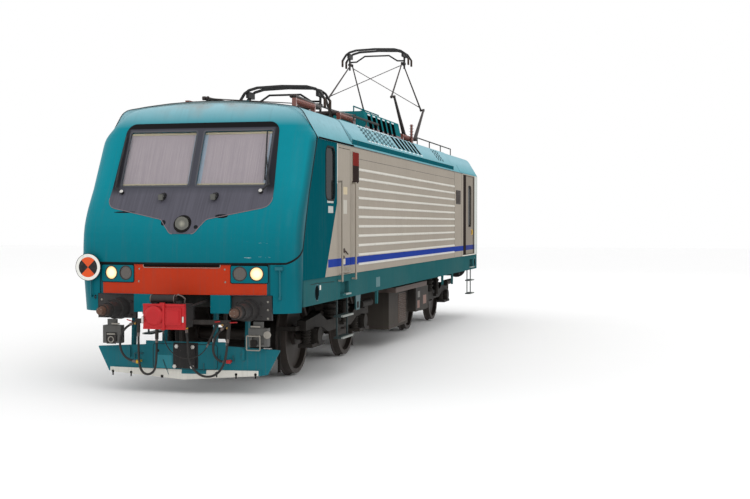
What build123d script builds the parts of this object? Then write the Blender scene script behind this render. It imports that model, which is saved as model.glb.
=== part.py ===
from build123d import *
import os
from math import acos, asin, atan2, cos, degrees, hypot, pi, radians, sin, sqrt, tan

os.makedirs("parts", exist_ok=True)

# Heights below are above the rail top. Every solid is lifted by FLANGE_DEPTH on export,
# so that z = 0 is the lowest point of the wheel flanges.
FLANGE_DEPTH = 28

# Overall sizes
LENGTH_OVER_BUFFERS = 15750
HALF_WIDTH = 1500
WALL = 60
GAP = 0.4
FLOOR_TOP = 1420
SOLEBAR_BOTTOM = 1080
EAVES = 3274
SLOPE_TOP = 3680
SLOPE_TOP_X = 1264
CROWN = 3790
REAR_Y = 7151
HULL_FRONT_Y = -7012

# Running gear
PIVOT_Y = 3770
AXLE_OFFSET = 1325
WHEEL_R = 550
GAUGE_FACE_X = 680
WHEEL_WIDTH = 140
AXLE_R = 85
JOURNAL_R = 70
BEARING_PLAY = 0.5
RUN_CLEARANCE = 10

# Buffers and couplers
BUFFER_X = 875
PIVOT_R = 110
JACK_R = 105
JACK_Z = 1232
JACK_Y = (-6360, 6830)
ROOF_EDGE_R = 200
BROW_R = 449
BUFFER_Z = 1055

# Doors and windows in the sides: front y, rear y, bottom z, top z
CAB_DOOR = (-5305, -4681, 1428, 3213)
REAR_DOOR = (5655, 6645, 1443, 3250)
REAR_RECESS_Y = 5149
REAR_DOOR_WINDOW = (5950, 6360, 2083, 3016)
CAB_SIDE_WINDOW = (-5970, -5514, 2464, 3188)
DOOR_PLAY = 8
DOOR_THICK = 45
RECESS_DEPTH = 20
HINGE_KNUCKLE_R = 13
HINGE_PIN_R = 7
GANGWAY_HALF = 400
RIB_Y = (-4232, 3983)
GANGWAY_TOP = 3350

# Pantographs, from the centre of the main shafts
PANTO_Y = 3120
SHAFT_Z = 3945
SHAFT_HALF = 520
KNEE_HALF = 1450
KNEE_Z = 4650
HEAD_HALF = 60
# The far upper frame takes up the linkage's play of up to 9 mm at this smaller pin
FREE_PIN_R = 8
FREE_PLAY = 10
FOLD_LOWER = 2.6
FOLD_UPPER = 1.0
LOWER_LEN = hypot(KNEE_HALF - SHAFT_HALF, KNEE_Z - SHAFT_Z)
RAISE_LOWER = degrees(atan2(KNEE_Z - SHAFT_Z, KNEE_HALF - SHAFT_HALF))
FOLD_REACH = SHAFT_HALF - HEAD_HALF + LOWER_LEN * cos(radians(FOLD_LOWER))
UPPER_LEN = FOLD_REACH / cos(radians(FOLD_UPPER))
RAISE_UPPER = degrees(acos((KNEE_HALF - HEAD_HALF) / UPPER_LEN))
PIN_PLAY = 0.5
SHAFT_R = 38
KNEE_PIN_R = 15
HEAD_PIN_R = 14
HEAD_RISE = 322


def box(x0, x1, y0, y1, z0, z1):
    return Pos((x0 + x1) / 2, (y0 + y1) / 2, (z0 + z1) / 2) * Box(x1 - x0, y1 - y0, z1 - z0)


def prism_x(points, x0, x1):
    face = make_face(Polyline(*[(x0, y, z) for y, z in points], close=True))
    return extrude(face, amount=x1 - x0, dir=(1, 0, 0))


def prism_y(points, y0, y1):
    face = make_face(Polyline(*[(x, y0, z) for x, z in points], close=True))
    return extrude(face, amount=y1 - y0, dir=(0, 1, 0))


def prism_z(points, z0, z1):
    face = make_face(Polyline(*[(x, y, z0) for x, y in points], close=True))
    return extrude(face, amount=z1 - z0, dir=(0, 0, 1))


def rod(a, b, r0, r1=None):
    run = Vector(*b) - Vector(*a)
    plane = Plane(origin=a, z_dir=run)
    if r1 is None or abs(r1 - r0) < 0.01:
        return Solid.make_cylinder(r0, run.length, plane)
    return Solid.make_cone(r0, r1, run.length, plane)


def ring(a, b, r_out, r_in):
    return rod(a, b, r_out) - rod(a, b, r_in)


def both(shape):
    return shape + mirror(shape, about=Plane.YZ)


def join(shapes):
    shapes = list(shapes)
    return shapes[0].fuse(*shapes[1:]) if len(shapes) > 1 else shapes[0]


def rounded_x(y0, y1, z0, z1, r, x0, x1):
    plane = Plane(origin=((x0), (y0 + y1) / 2, (z0 + z1) / 2), x_dir=(0, 1, 0), z_dir=(1, 0, 0))
    return extrude(plane * RectangleRounded(y1 - y0, z1 - z0, r), amount=x1 - x0)


def rounded_y(x0, x1, z0, z1, r, y0, y1):
    plane = Plane(origin=((x0 + x1) / 2, y0, (z0 + z1) / 2), x_dir=(-1, 0, 0), z_dir=(0, 1, 0))
    return extrude(plane * RectangleRounded(x1 - x0, z1 - z0, r), amount=y1 - y0)


def roof_edge(inset):
    # start, middle and end of the round between the roof's slope and its crown, in x, z
    k = SLOPE_TOP_X - inset * 0.75
    s = SLOPE_TOP - inset * 0.75
    r = ROOF_EDGE_R - inset
    slope = atan2(SLOPE_TOP - EAVES, HALF_WIDTH - SLOPE_TOP_X)
    crown = atan2(CROWN - SLOPE_TOP, SLOPE_TOP_X) * 2
    half = (slope - crown) / 2
    leg = r * tan(half)
    mid = (slope + crown) / 2
    out = r / cos(half) - r
    start = (k + leg * cos(slope), s - leg * sin(slope))
    end = (k - leg * cos(crown), s + leg * sin(crown))
    return start, (k - out * sin(mid), s - out * cos(mid)), end


def hull_face(inset, y):
    e = HALF_WIDTH - inset
    z = EAVES - inset * 0.27
    c = CROWN - inset
    (ax, az), (mx, mz), (bx, bz) = roof_edge(inset)
    edges = [
        Line((-ax, y, az), (-e, y, z)),
        Line((-e, y, z), (-e, y, 1000)),
        Line((-e, y, 1000), (e, y, 1000)),
        Line((e, y, 1000), (e, y, z)),
        Line((e, y, z), (ax, y, az)),
        ThreePointArc((ax, y, az), (mx, y, mz), (bx, y, bz)),
        ThreePointArc((bx, y, bz), (0, y, c), (-bx, y, bz)),
        ThreePointArc((-bx, y, bz), (-mx, y, mz), (-ax, y, az)),
    ]
    return make_face(edges)


def hull(inset, y0, y1):
    return extrude(hull_face(inset, y0), amount=y1 - y0, dir=(0, 1, 0))


# Nose sections up to the eaves: height, front y at the centre, half width, corner radius, edge turn in degrees
NOSE_SECTIONS = (
    (990, -7385, 1500, 400, 10),
    (1640, -7380, 1500, 250, 10),
    (1900, -7368, 1500, 250, 10),
    (2020, -7352, 1500, 251, 9.7),
    (2110, -7326, 1500, 253, 9),
    (2190, -7289, 1500, 256, 8),
    (2260, -7248, 1500, 259, 7),
    (2330, -7203, 1500, 263, 5.8),
    (2430, -7131, 1500, 270, 4.2),
    (2520, -7066, 1500, 275, 3),
    (2600, -7009, 1500, 280, 2),
    (3193, -6741, 1500, 330, 2),
    (3245, -6718, 1495.4, 330, 2),
    (3296, -6695, 1481.9, 330, 2),
)
# Heights of the sections above, which follow the roof's slope, its rounded edge and the crown
TOP_SECTIONS = (3344, 3526, 3590, 3640, 3678, 3706, 3730, 3752, 3770, 3783, 3789)


def roof_width(z, inset):
    # half width of the roof at height z
    (ax, az), (mx, mz), (bx, bz) = roof_edge(inset)
    if z <= az:
        run = (HALF_WIDTH - SLOPE_TOP_X) / (SLOPE_TOP - EAVES)
        return ax + (az - z) * run
    if z < bz:
        r = ROOF_EDGE_R - inset
        slope = atan2(SLOPE_TOP - EAVES, HALF_WIDTH - SLOPE_TOP_X)
        cx = ax - r * sin(slope)
        cz = az - r * cos(slope)
        return cx + sqrt(r * r - (z - cz) ** 2)
    return bx * sqrt((CROWN - inset - z) / (CROWN - inset - bz))


def brow_front(z, inset):
    # y of the front at height z: the screen plane, then the rounded brow
    t = radians(24.3)
    plane = -7009 + (z - 2600) * 0.4515 + inset / cos(t)
    r = BROW_R - inset
    cz = CROWN - inset - r
    cy = -6181.7
    if z < cz + r * sin(t):
        return plane
    return cy - sqrt(max(0, r * r - (z - cz) ** 2))


def nose_plan(z, y_front, w, r, turn, inset):
    w = w - inset
    r = r - inset * 0.8
    y_front = y_front + inset
    t = radians(turn)
    big = (w - r) / sin(t) + r
    xb = w - r + r * sin(t)
    yb = y_front + big * (1 - cos(t))
    yc = yb + r * cos(t)
    m = (t + pi / 2) / 2
    xm = w - r + r * sin(m)
    ym = yc - r * cos(m)
    back = -5900
    return Wire([
        ThreePointArc((-xb, yb, z), (0, y_front, z), (xb, yb, z)),
        ThreePointArc((xb, yb, z), (xm, ym, z), (w, yc, z)),
        Line((w, yc, z), (w, back, z)),
        Line((w, back, z), (-w, back, z)),
        Line((-w, back, z), (-w, yc, z)),
        ThreePointArc((-w, yc, z), (-xm, ym, z), (-xb, yb, z)),
    ])


def nose(inset):
    rows = [nose_plan(*row, inset) for row in NOSE_SECTIONS]
    for z in TOP_SECTIONS:
        share = max(0, (z - 3344) / (3790 - 3344))
        z = z - inset * share
        w = roof_width(z, inset)
        corner = min(330 + 90 * share - inset * 0.8, 0.8 * w)
        rows.append(nose_plan(z, brow_front(z, inset), w, corner, 2, 0))
    return Solid.make_loft(rows, True)


# Seam between the moulded cab shell and the steel sides: y, z from the front down low to the roof
SEAM = ((-7250, 1640), (-7100, 1740), (-7012, 1817), (-6880, 2180), (-6745, 2522), (-6560, 2890),
        (-6372, 3252), (-6335, 3330), (-6335, 4000))


def seam_front(shift):
    pts = [(-8000, 1620 + shift)] + [(y - shift, z + shift * 0.2) for y, z in SEAM] + [(-8000, 4000)]
    return prism_x(pts, -1700, 1700)


NOSE_OUT = nose(0)
NOSE_IN = nose(WALL)
HULL_IN = hull(WALL + GAP, HULL_FRONT_Y, REAR_Y)


def screen_pane(x0, x1, z0, z1, r, start, end):
    # a block with the outline of a pane, from start to end measured inwards from the screen plane
    t = radians(24.3)
    zc = (z0 + z1) / 2
    yc = -7009 + (zc - 2600) * 0.4515
    origin = ((x0 + x1) / 2, yc + start * cos(t), zc - start * sin(t))
    plane = Plane(origin=origin, x_dir=(1, 0, 0), z_dir=(0, cos(t), -sin(t)))
    return extrude(plane * RectangleRounded(x1 - x0, (z1 - z0) / cos(t), r), amount=end - start)


PANES = ((-1000, -46, 2626, 3362), (46, 1000, 2626, 3362))


def cab_shell():
    shell = (NOSE_OUT - NOSE_IN) & seam_front(GAP)
    for x0, x1, z0, z1 in PANES:
        shell -= screen_pane(x0, x1, z0, z1, 30, -60, 160)
    shell -= rod((0, -7500, 2140), (0, -7100, 2140), 92)
    return shell


LAMP_X = (-985, -772, 772, 985)
LAMP_Z = 1513
LAMP_R = 80
LAMP_BOX = (660, 1128, 1398, 1612)
PANEL = (-1160, 1160, 1246, 1633)


def front_skirt():
    # corner skirts, the small panels beside the coupler, and the two lamp boxes
    x0, x1, z0, z1 = PANEL
    band = (NOSE_OUT & box(-1600, 1600, -8000, HULL_FRONT_Y - GAP, 1015, 2100)) - nose(40)
    band -= seam_front(-3)
    band -= box(x0 - GAP, x1 + GAP, -7600, -7100, z0 - GAP, 1700)
    band -= both(box(653, 1190, -7600, -7150, 900, z0 - 2))
    band -= box(-397, 397, -7600, -7150, 900, z0 - GAP)
    a0, a1, b0, b1 = LAMP_BOX
    frame = (nose(4) & rounded_y(a0, a1, b0, b1, 22, -7600, -7100)) - nose(52)
    for x in LAMP_X[2:]:
        frame -= rod((x, -7600, LAMP_Z), (x, -7100, LAMP_Z), LAMP_R + GAP)
    return Compound([*band.solids(), *frame.solids(), *mirror(frame, about=Plane.YZ).solids()])


def nose_panel():
    panel = (nose(12) & box(*PANEL[:2], -8000, -7100, *PANEL[2:])) - nose(50)
    panel -= box(-516, 516, -7460, -7200, 1592, 1640)
    a0, a1, b0, b1 = LAMP_BOX
    panel -= both(rounded_y(a0 - GAP, a1 + GAP, b0 - GAP, b1 + 60, 22, -7600, -7100))
    return panel


def on_screen(x, z, out):
    # a point out mm in front of the screen plane
    t = radians(24.3)
    y = -7009 + (z - 2600) * 0.4515
    return (x, y - out * cos(t), z + out * sin(t))


def screen_mask():
    half = ((1066, 3474, 140), (1126, 2360, 130), (307, 2193, 80), (160, 2012, 70))
    outline = [(x, z) for x, z, r in half] + [(-x, z) for x, z, r in reversed(half)]
    block = prism_y(outline, -7600, -6400)
    for x, z, r in half:
        corner = block.edges().filter_by(Axis.Y).filter_by(lambda e: abs(abs(e.center().X) - x) < 1)
        block = block.fillet(r, corner)
    mask = (nose(-6) & block) - NOSE_OUT
    for x0, x1, z0, z1 in PANES:
        mask -= screen_pane(x0, x1, z0, z1, 30, -200, 160)
    mask -= rod((0, -7500, 2140), (0, -7000, 2140), 92)
    return mask


def side_wall():
    pts = [(HULL_FRONT_Y, FLOOR_TOP + GAP), (HULL_FRONT_Y, 1817), (-6880, 2180), (-6745, 2522), (-6560, 2890),
           (-6361, EAVES), (REAR_Y, EAVES), (REAR_Y, FLOOR_TOP + GAP)]
    wall = prism_x(pts, HALF_WIDTH - WALL, HALF_WIDTH)
    for k in range(11):
        z = 2948 - k * 140.8
        low = max(z - 13, FLOOR_TOP + 20)
        wall += prism_y([(1499, z - 22), (1512, z - 10), (1512, z + 10), (1499, z + 22)], *RIB_Y)
    y0, y1, z0, z1 = CAB_DOOR
    wall -= box(1400, 1600, y0, y1, z0, z1)
    wall -= rounded_x(*CAB_SIDE_WINDOW, 110, 1400, 1600)
    wall += box(1499, 1514, -4600, -4230, 2758, 3186)
    wall -= box(1494, 1530, 4266, 4744, 2583, 2846)
    y0, y1, z0, z1 = REAR_DOOR
    wall -= box(1400, 1600, REAR_RECESS_Y, y1, z0, z1)
    wall += box(1430, HALF_WIDTH - RECESS_DEPTH + 6, REAR_RECESS_Y - 20, y0, z0 - 10, z1 + 10)
    wall += box(1490, 1522, 4990, 6650, FLOOR_TOP + GAP, FLOOR_TOP + 22)
    for knuckle, lug in hinges("cab_door") + hinges("rear_door"):
        wall += lug
    return wall


def on_slope(z, out):
    # a point of the roof slope in x, z, out mm proud of it
    run = hypot(HALF_WIDTH - SLOPE_TOP_X, SLOPE_TOP - EAVES)
    nx = (SLOPE_TOP - EAVES) / run
    nz = (HALF_WIDTH - SLOPE_TOP_X) / run
    x = HALF_WIDTH - (z - EAVES) * (HALF_WIDTH - SLOPE_TOP_X) / (SLOPE_TOP - EAVES)
    return (x + out * nx, z + out * nz)


def slope_block(y0, y1, z0, z1, out0, out1):
    pts = [on_slope(z0, out0), on_slope(z1, out0), on_slope(z1, out1), on_slope(z0, out1)]
    return prism_y(pts, y0, y1)


# Vent panels on the roof slope: front y, rear y, columns of slots
VENTS = ((-3500, -2690, 3), (-2600, -1420, 4), (2330, 3080, 3))
# Louvre bays on the roof slope and on the hood: first y, pitch, count
BAYS = (-1250, 352, 6)


def roof():
    body = hull(0, -6335 + GAP, REAR_Y) - hull(WALL, -7000, REAR_Y + 10)
    body &= box(-1600, 1600, -7000, 8000, EAVES + GAP, 4000)
    # the vent panels stand proud on a fascia between the seams
    x0, z0 = on_slope(3662, -3)
    fascia = prism_y([(1486, EAVES + 22), (1486, 3392), on_slope(3672, 4), (x0, z0), (1430, EAVES + 30)], -4499, RIB_Y[1])
    body += both(fascia)
    body += both(prism_y([(1500.4, 3262), (1513, 3262), (1513, 3282), (1488, 3302), (1488, 3275), (1500.4, 3275)], -6300, -4510))
    body += both(slope_block(4780, 7100, 3290, 3450, -2, 9))
    cuts = []
    n = Vector(1486 - on_slope(3672, 4)[0], 0, 3392 - on_slope(3672, 4)[1])
    for y0, y1, cols in VENTS:
        step = (y1 - y0) / cols
        for c in range(cols):
            for r in range(9):
                f = 0.12 + r * 0.09
                xa = on_slope(3672, 4)[0] + n.X * f
                za = on_slope(3672, 4)[1] + n.Z * f
                off = 0.5 * step * (r % 2) * 0.5
                cuts.append(prism_y([(xa - 25, za - 25 - 6), (xa + 30, za + 8), (xa + 30, za + 22), (xa - 25, za + 4)],
                                    y0 + c * step + 20 + off, y0 + c * step + step * 0.72 + off))
    y, pitch, count = BAYS
    for k in range(count):
        a = y + k * pitch
        cuts.append(prism_y([(1225, 3660), (1296, 3696), (1478, 3450), (1405, 3420)], a, a + 250))
    tool = Compound(cuts)
    body -= tool
    body -= mirror(tool, about=Plane.YZ)
    return body


def rear_wall():
    body = HULL_IN & box(-1600, 1600, REAR_Y - WALL, REAR_Y, FLOOR_TOP + GAP, 4000)
    body -= box(-GANGWAY_HALF, GANGWAY_HALF, 7000, 7300, FLOOR_TOP - 10, GANGWAY_TOP)
    for knuckle, lug in hinges("gangway_door"):
        body += lug
    return body


# Door hinges: axis x, axis y, turn of the leaf, distance to the wall, distance to the leaf, heights
HINGES = {
    "cab_door": (1421, -5305, "+y", 19, 31, (1700, 2900)),
    "rear_door": (1415, 6645, "-y", 25, 20, (1700, 2900)),
    "gangway_door": (-400, 7070, "+x", 21, 25, (1700, 2950)),
}


def hinges(door):
    ax, ay, turn, to_wall, to_leaf, heights = HINGES[door]

    def block(u0, u1, w0, w1, z0, z1):
        if turn == "+y":
            return box(ax + w0, ax + w1, ay + u0, ay + u1, z0, z1)
        if turn == "-y":
            return box(ax + w0, ax + w1, ay - u1, ay - u0, z0, z1)
        return box(ax + u0, ax + u1, ay + w0, ay + w1, z0, z1)

    pairs = []
    for z in heights:
        pin = rod((ax, ay, z - 26), (ax, ay, z + 86), HINGE_PIN_R)
        bore = rod((ax, ay, z - 5), (ax, ay, z + 65), HINGE_PIN_R + PIN_PLAY)
        knuckle = rod((ax, ay, z), (ax, ay, z + 60), HINGE_KNUCKLE_R) + block(0, 30, -8, 12, z, z + 60)
        knuckle += block(10, 30, 11, to_leaf + 1, z, z + 60)
        lug = pin
        for a, b in ((z - 26, z - 0.6), (z + 60.6, z + 86)):
            lug += block(-14, 4, -10, to_wall + 1, a, b) - block(0, 10, 12, 60, a - 1, b + 1)
        pairs.append((knuckle - bore, lug))
    return pairs


BULKHEADS = ((-4560, -4520), (5040, 5080))


def bulkheads():
    return Compound([HULL_IN & box(-1600, 1600, y0, y1, FLOOR_TOP + GAP, 4000) for y0, y1 in BULKHEADS])


def machinery_block():
    return box(-950, 950, -4400, 4900, FLOOR_TOP + GAP, 3200)


def underframe():
    body = box(-1490, 1490, -6960, 7090, 1340, FLOOR_TOP)
    body += both(box(1400, 1490, -6960, 7150, SOLEBAR_BOTTOM, 1345))
    body += box(-1300, 1300, -7190, -6950, SOLEBAR_BOTTOM, 1400)
    body += box(-1490, 1490, 7050, 7150, SOLEBAR_BOTTOM, FLOOR_TOP)
    for s in (-1, 1):
        body += box(-420, 420, s * PIVOT_Y - 260, s * PIVOT_Y + 260, 1200, 1345)
        body += rod((0, s * PIVOT_Y, 1210), (0, s * PIVOT_Y, 480), PIVOT_R)
    for y in JACK_Y:
        body -= both(rod((1380, y, JACK_Z), (1600, y, JACK_Z), JACK_R))
    # foot pockets in the solebar under the doors: front y, rear y
    for y0, y1 in ((-5200, -4738), (6060, 6560)):
        body -= both(box(1430, 1600, y0, y1, 1150, 1318))
        body += both(box(1489, 1530, y0, y1, 1128, 1150))
    # brackets hanging from the solebar: y, lower end
    for y, z in ((-4177, 862), (-2909, 871), (2814, 892), (3955, 850)):
        body += both(prism_x([(y - 55, SOLEBAR_BOTTOM + 1), (y + 55, SOLEBAR_BOTTOM + 1), (y + 30, z), (y - 30, z)],
                             1440, 1475))
    return body


def front_buffers():
    one = box(650, 1180, -7291, -7241, 930, 1240)
    one += box(700, 1130, -7245, -7190 - GAP, 980, 1200)
    x = BUFFER_X
    steps = ((-7291, -7450, 140, 120), (-7450, -7640, 100, 90), (-7640, -7790, 75, 75), (-7790, -7875, 60, 42))
    for y0, y1, r0, r1 in steps:
        one += rod((x, y0 + 2, BUFFER_Z), (x, y1, BUFFER_Z), r0, r1)
    return both(one)


def rear_buffers():
    x = BUFFER_X
    one = box(x - 190, x + 190, 7150 + GAP, 7180, BUFFER_Z - 160, BUFFER_Z + 160)
    one += rod((x, 7175, BUFFER_Z), (x, 7560, BUFFER_Z), 110)
    one += rod((x, 7550, BUFFER_Z), (x, 7835, BUFFER_Z), 85)
    one += rod((x, 7830, BUFFER_Z), (x, 7875, BUFFER_Z), 225)
    return both(one)


def auto_coupler():
    # shank, head behind the cover, and the black tube on top
    body = box(-110, 110, -7560, -7190 - GAP, 930, 1090)
    body += box(-230, 230, -7860, -7540, 860, 1150)
    body += rod((-215, -7790, 1215), (110, -7790, 1215), 52)
    body += both(box(120, 180, -7820, -7760, 1140, 1190)) & box(-300, 300, -7900, -7700, 1100, 1200)
    body += both(rod((200, -7700, 1100), (330, -7210, 1180), 14)) & box(-600, 600, -7800, -7190 - GAP, 0, 3000)
    return body


def coupler_cover():
    body = box(-272, 272, -7905, -7860 - GAP, 850, 1160)
    body += box(-272, 272, -7912, -7880, 1135, 1160) + box(-272, 272, -7912, -7880, 850, 872)
    body += box(20, 230, -7918, -7900, 905, 1110) + box(45, 205, -7926, -7915, 930, 1085)
    body += rod((-125, -7900, 1010), (-125, -7945, 1000), 125, 88)
    body += box(-10, 18, -7930, -7900, 850, 1160)
    return body


def rear_coupling():
    body = box(-60, 60, 7150 + GAP, 7420, 960, 1150)
    body += box(-30, 30, 7410, 7520, 960, 1090)
    body += box(-30, 30, 7500, 7560, 960, 1130)
    return body


def plough():
    # front outline in x, z and plan outline in x, y, cut from each other
    half = [(0, 640), (541, 640), (541, 592), (1239, 549), (1239, 530), (1085, 235), (1011, 222)]
    outline = half + [(-x, z) for x, z in reversed(half[1:])]
    plan = [(-1300, -7161), (0, -7292), (1300, -7161), (1300, -7136), (0, -7267), (-1300, -7136)]
    blade = prism_y(outline, -7400, -7000) & prism_z(plan, 100, 700)
    lip = prism_y([(-1011, 300), (0, 260), (1011, 300), (1011, 222), (0, 160), (-1011, 222)], -7400, -7000)
    blade += lip & prism_z([(x, y - 8) for x, y in plan], 100, 700)
    blade += box(-160, 160, -7302, -7275, 294, 613)
    for x in (330, 760):
        blade += both(box(x, x + 40, -7240, -7060, 420, 560))
        blade += both(prism_x([(-7130, 420), (-7060, 420), (-7000, SOLEBAR_BOTTOM - GAP), (-7090, SOLEBAR_BOTTOM - GAP)],
                              x, x + 40))
    return blade


def end_fittings():
    # cable sockets under the buffer plates
    one = box(870, 1120, -7285, -7180, 600, 830) - box(915, 1075, -7300, -7260, 625, 740)
    one += box(930, 1060, -7275, -7245, 820, 912)
    # pipe rail below the panels, hung from the headstock, with a cock on it for each hose's upper end
    rail = box(-640, 640, -7345, -7295, 870, 928)
    rail += both(box(500, 540, -7300, -7150, 880, 905) + box(500, 540, -7185, -7150, 880, SOLEBAR_BOTTOM - GAP))
    plugs = []
    for r, points in HOSES.values():
        for a, b in ((points[0], points[1]), (points[-1], points[-2])):
            run = (Vector(*a) - Vector(*b)).normalized()
            start = Vector(*a) + run * GAP
            if a[2] > 600:
                reach = max(60, (888 - a[2]) / run.Z)
                rail += rod(start, Vector(*a) + run * reach, r + 8)
            else:
                plug = rod(start, Vector(*a) + run * 52, r + 9)
                x0, x1 = sorted((a[0] + 12, a[0] + 38))
                plug += box(x0, x1, a[1], -7150, a[2] - 14, a[2] + 12)
                plugs.append(plug)
    plan = [(-1300, -7161 - GAP), (0, -7292 - GAP), (1300, -7161 - GAP), (1300, -7000), (-1300, -7000)]
    keep = prism_z(plan, 100, 590)
    return Compound([one, mirror(one, about=Plane.YZ), rail] + [p - keep for p in plugs])


def lamps():
    out = []
    for x in LAMP_X:
        out.append(rod((x, -7500, LAMP_Z), (x, -7240, LAMP_Z), LAMP_R) & nose(8))
    out.append(rod((0, -7340, 2140), (0, -7180, 2140), 92 - GAP))
    return Compound(out)


def glazing():
    out = []
    for x0, x1, z0, z1 in PANES:
        out.append(screen_pane(x0 + GAP, x1 - GAP, z0 + GAP, z1 - GAP, 30 - GAP, 2, 22))
    y0, y1, z0, z1 = CAB_SIDE_WINDOW
    for s in (-1, 1):
        lo, hi = sorted((s * 1466, s * 1486))
        out.append(rounded_x(y0 + GAP, y1 - GAP, z0 + GAP, z1 - GAP, 110 - GAP, lo, hi))
    return Compound(out)


def sunblinds():
    out = []
    for x0, x1, z0, z1 in PANES:
        out.append(screen_pane(x0 + 2, x1 - 2, z0 + 2, z1 - 2, 28, 34, 40))
    return Compound(out)


def cab_fittings():
    desk = box(-1150, 1150, -6850, -6300, FLOOR_TOP + GAP, 2300)
    seat = box(150, 650, -5900, -5400, 1850, 1950)
    seat += box(150, 650, -5480, -5400, 1900, 2600)
    seat += rod((400, -5650, FLOOR_TOP + GAP), (400, -5650, 1860), 60)
    return Compound([desk, seat])


def cab_door():
    y0, y1, z0, z1 = CAB_DOOR
    p = DOOR_PLAY
    leaf = box(1452, 1452 + DOOR_THICK, y0 + p, y1 - p - 4, z0 + p, z1 - p)
    for knuckle, lug in hinges("cab_door"):
        leaf += knuckle
    return leaf


def rear_door():
    y0, y1, z0, z1 = REAR_DOOR
    p = DOOR_PLAY
    x1 = HALF_WIDTH - RECESS_DEPTH
    leaf = box(x1 - DOOR_THICK, x1, y0 + p + 4, y1 - p, z0 + p, z1 - p)
    for knuckle, lug in hinges("rear_door"):
        leaf += knuckle
    return leaf - rounded_x(*REAR_DOOR_WINDOW, 90, 1300, 1600)


def rear_door_glass():
    y0, y1, z0, z1 = REAR_DOOR_WINDOW
    return rounded_x(y0 + GAP, y1 - GAP, z0 + GAP, z1 - GAP, 90 - GAP, 1450, 1462)


def gangway_door():
    leaf = box(-GANGWAY_HALF + DOOR_PLAY, GANGWAY_HALF - DOOR_PLAY - 4, 7095, 7135, FLOOR_TOP + DOOR_PLAY,
               GANGWAY_TOP - DOOR_PLAY)
    leaf -= rounded_y(-180, 180, 2250, 2950, 60, 7000, 7200)
    for knuckle, lug in hinges("gangway_door"):
        leaf += knuckle
    return leaf


# Handrails beside the cab door: y
RAIL_Y = (-5345, -4595)


def handrails():
    out = []
    for y in RAIL_Y:
        one = rod((1560, y, 1345), (1560, y, 2730), 15)
        one += Pos(1560, y, 1345) * Sphere(17) + Pos(1560, y, 2730) * Sphere(17)
        one += rod((1560, y, 1345), (HALF_WIDTH + GAP, y, 1345), 13)
        one += rod((1560, y, 2730), (HALF_WIDTH + GAP, y, 2730), 13)
        out += [one, mirror(one, about=Plane.YZ)]
    # upright rails on the front corners
    x, y = 1285, -7290
    one = rod((x, y, 1215), (x, y, 1590), 9)
    one += box(x - 12, x + 12, y - 12, -7100, 1195, 1219) + box(x - 60, x + 40, y - 20, -7100, 1560, 1600)
    one -= nose(-GAP)
    out += [one, mirror(one, about=Plane.YZ)]
    return Compound([s for o in out for s in o.solids()])


def steps():
    out = []
    for y0, y1 in ((-5195, -4620), (6060, 6560)):
        one = box(1425, 1445, y0, y0 + 25, 515, SOLEBAR_BOTTOM - GAP)
        one += box(1425, 1445, y1 - 25, y1, 515, SOLEBAR_BOTTOM - GAP)
        one += box(1390, 1530, y0, y1, 515, 540)
        one += box(1390, 1530, y0, y1, 820, 845)
        out += [one, mirror(one, about=Plane.YZ)]
    return Compound(out)


# Parked wipers, as x and z on the screen: pivot, elbow, joint, foot and tip of the blade
WIPERS = (
    ((954, 2540), (1062, 2622), (963, 2997), (988, 2690), (926, 3330)),
    ((-954, 2540), (-1040, 2596), (-1056, 2990), (-1062, 2690), (-1040, 3300)),
)


def wipers():
    parts = []
    for pivot, elbow, joint, foot, tip in WIPERS:
        one = rod(on_screen(*pivot, -40), on_screen(*pivot, 45), 26)
        one -= nose(-6 - GAP)
        one += rod(on_screen(*pivot, 32), on_screen(*elbow, 50), 11)
        one += Pos(on_screen(*elbow, 50)) * Sphere(13)
        one += rod(on_screen(*elbow, 50), on_screen(*joint, 26), 8)
        one += rod(on_screen(*foot, 24), on_screen(*tip, 24), 10)
        parts.append(one)
    spout = box(327, 387, -7190, -7050, 2445, 2515) + rod((357, -7165, 2480), (357, -7060, 2500), 44)
    return join(parts) + both(spout - nose(-6 - GAP))


DISC = (-1299, 1580, 176)


def signal_disc():
    x, z, r = DISC
    disc = rod((x, -7340, z), (x, -7325, z), r)
    arm = box(-1410, -1340, -7330, -7180, 1560, 1600) + box(-1356, -1340, -7330, -7180, 1440, 1600)
    return disc + (arm - nose(-GAP))


def gangway_bellows():
    frame = box(-640, 640, REAR_Y + GAP, 7230, FLOOR_TOP - 60, 3620)
    frame -= box(-GANGWAY_HALF, GANGWAY_HALF, 7000, 7500, FLOOR_TOP - 100, GANGWAY_TOP)
    # folded walls, then the rubber tubes
    outline = [(y, 560 if k % 2 else 500) for k, y in enumerate(range(7225, 7470, 30))]
    side = prism_z([(x, y) for y, x in outline] + [(x - 45, y) for y, x in reversed(outline)], 1400, 3420)
    frame += both(side)
    frame += both(rod((545, 7490, 1330), (545, 7490, 3440), 105))
    frame += rod((-650, 7490, 3500), (650, 7490, 3500), 105)
    frame += box(-500, 500, 7220, 7480, 3420, 3470)
    frame += box(-440, 440, 7220, 7560, 1372, 1392)
    return frame


def underfloor_gear():
    top = 1340 - GAP
    cooler = box(-1250, 1250, -1150, 400, 300, 1050) + box(-900, 900, -1000, 300, 1040, top)
    bar = box(1240, 1395, -1240, 1500, 946, 1035)
    case = box(820, 1395, 455, 1615, 500, 945) + box(900, 1200, 600, 1500, 940, top)
    return cooler + both(bar) + both(case) + box(-850, 850, 390, 1500, 700, 1050)


# Roof hood over the braking resistors: half width at the roof, half width on top, top z, half length
HOOD = (935, 850, 4090, 1388)


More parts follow.
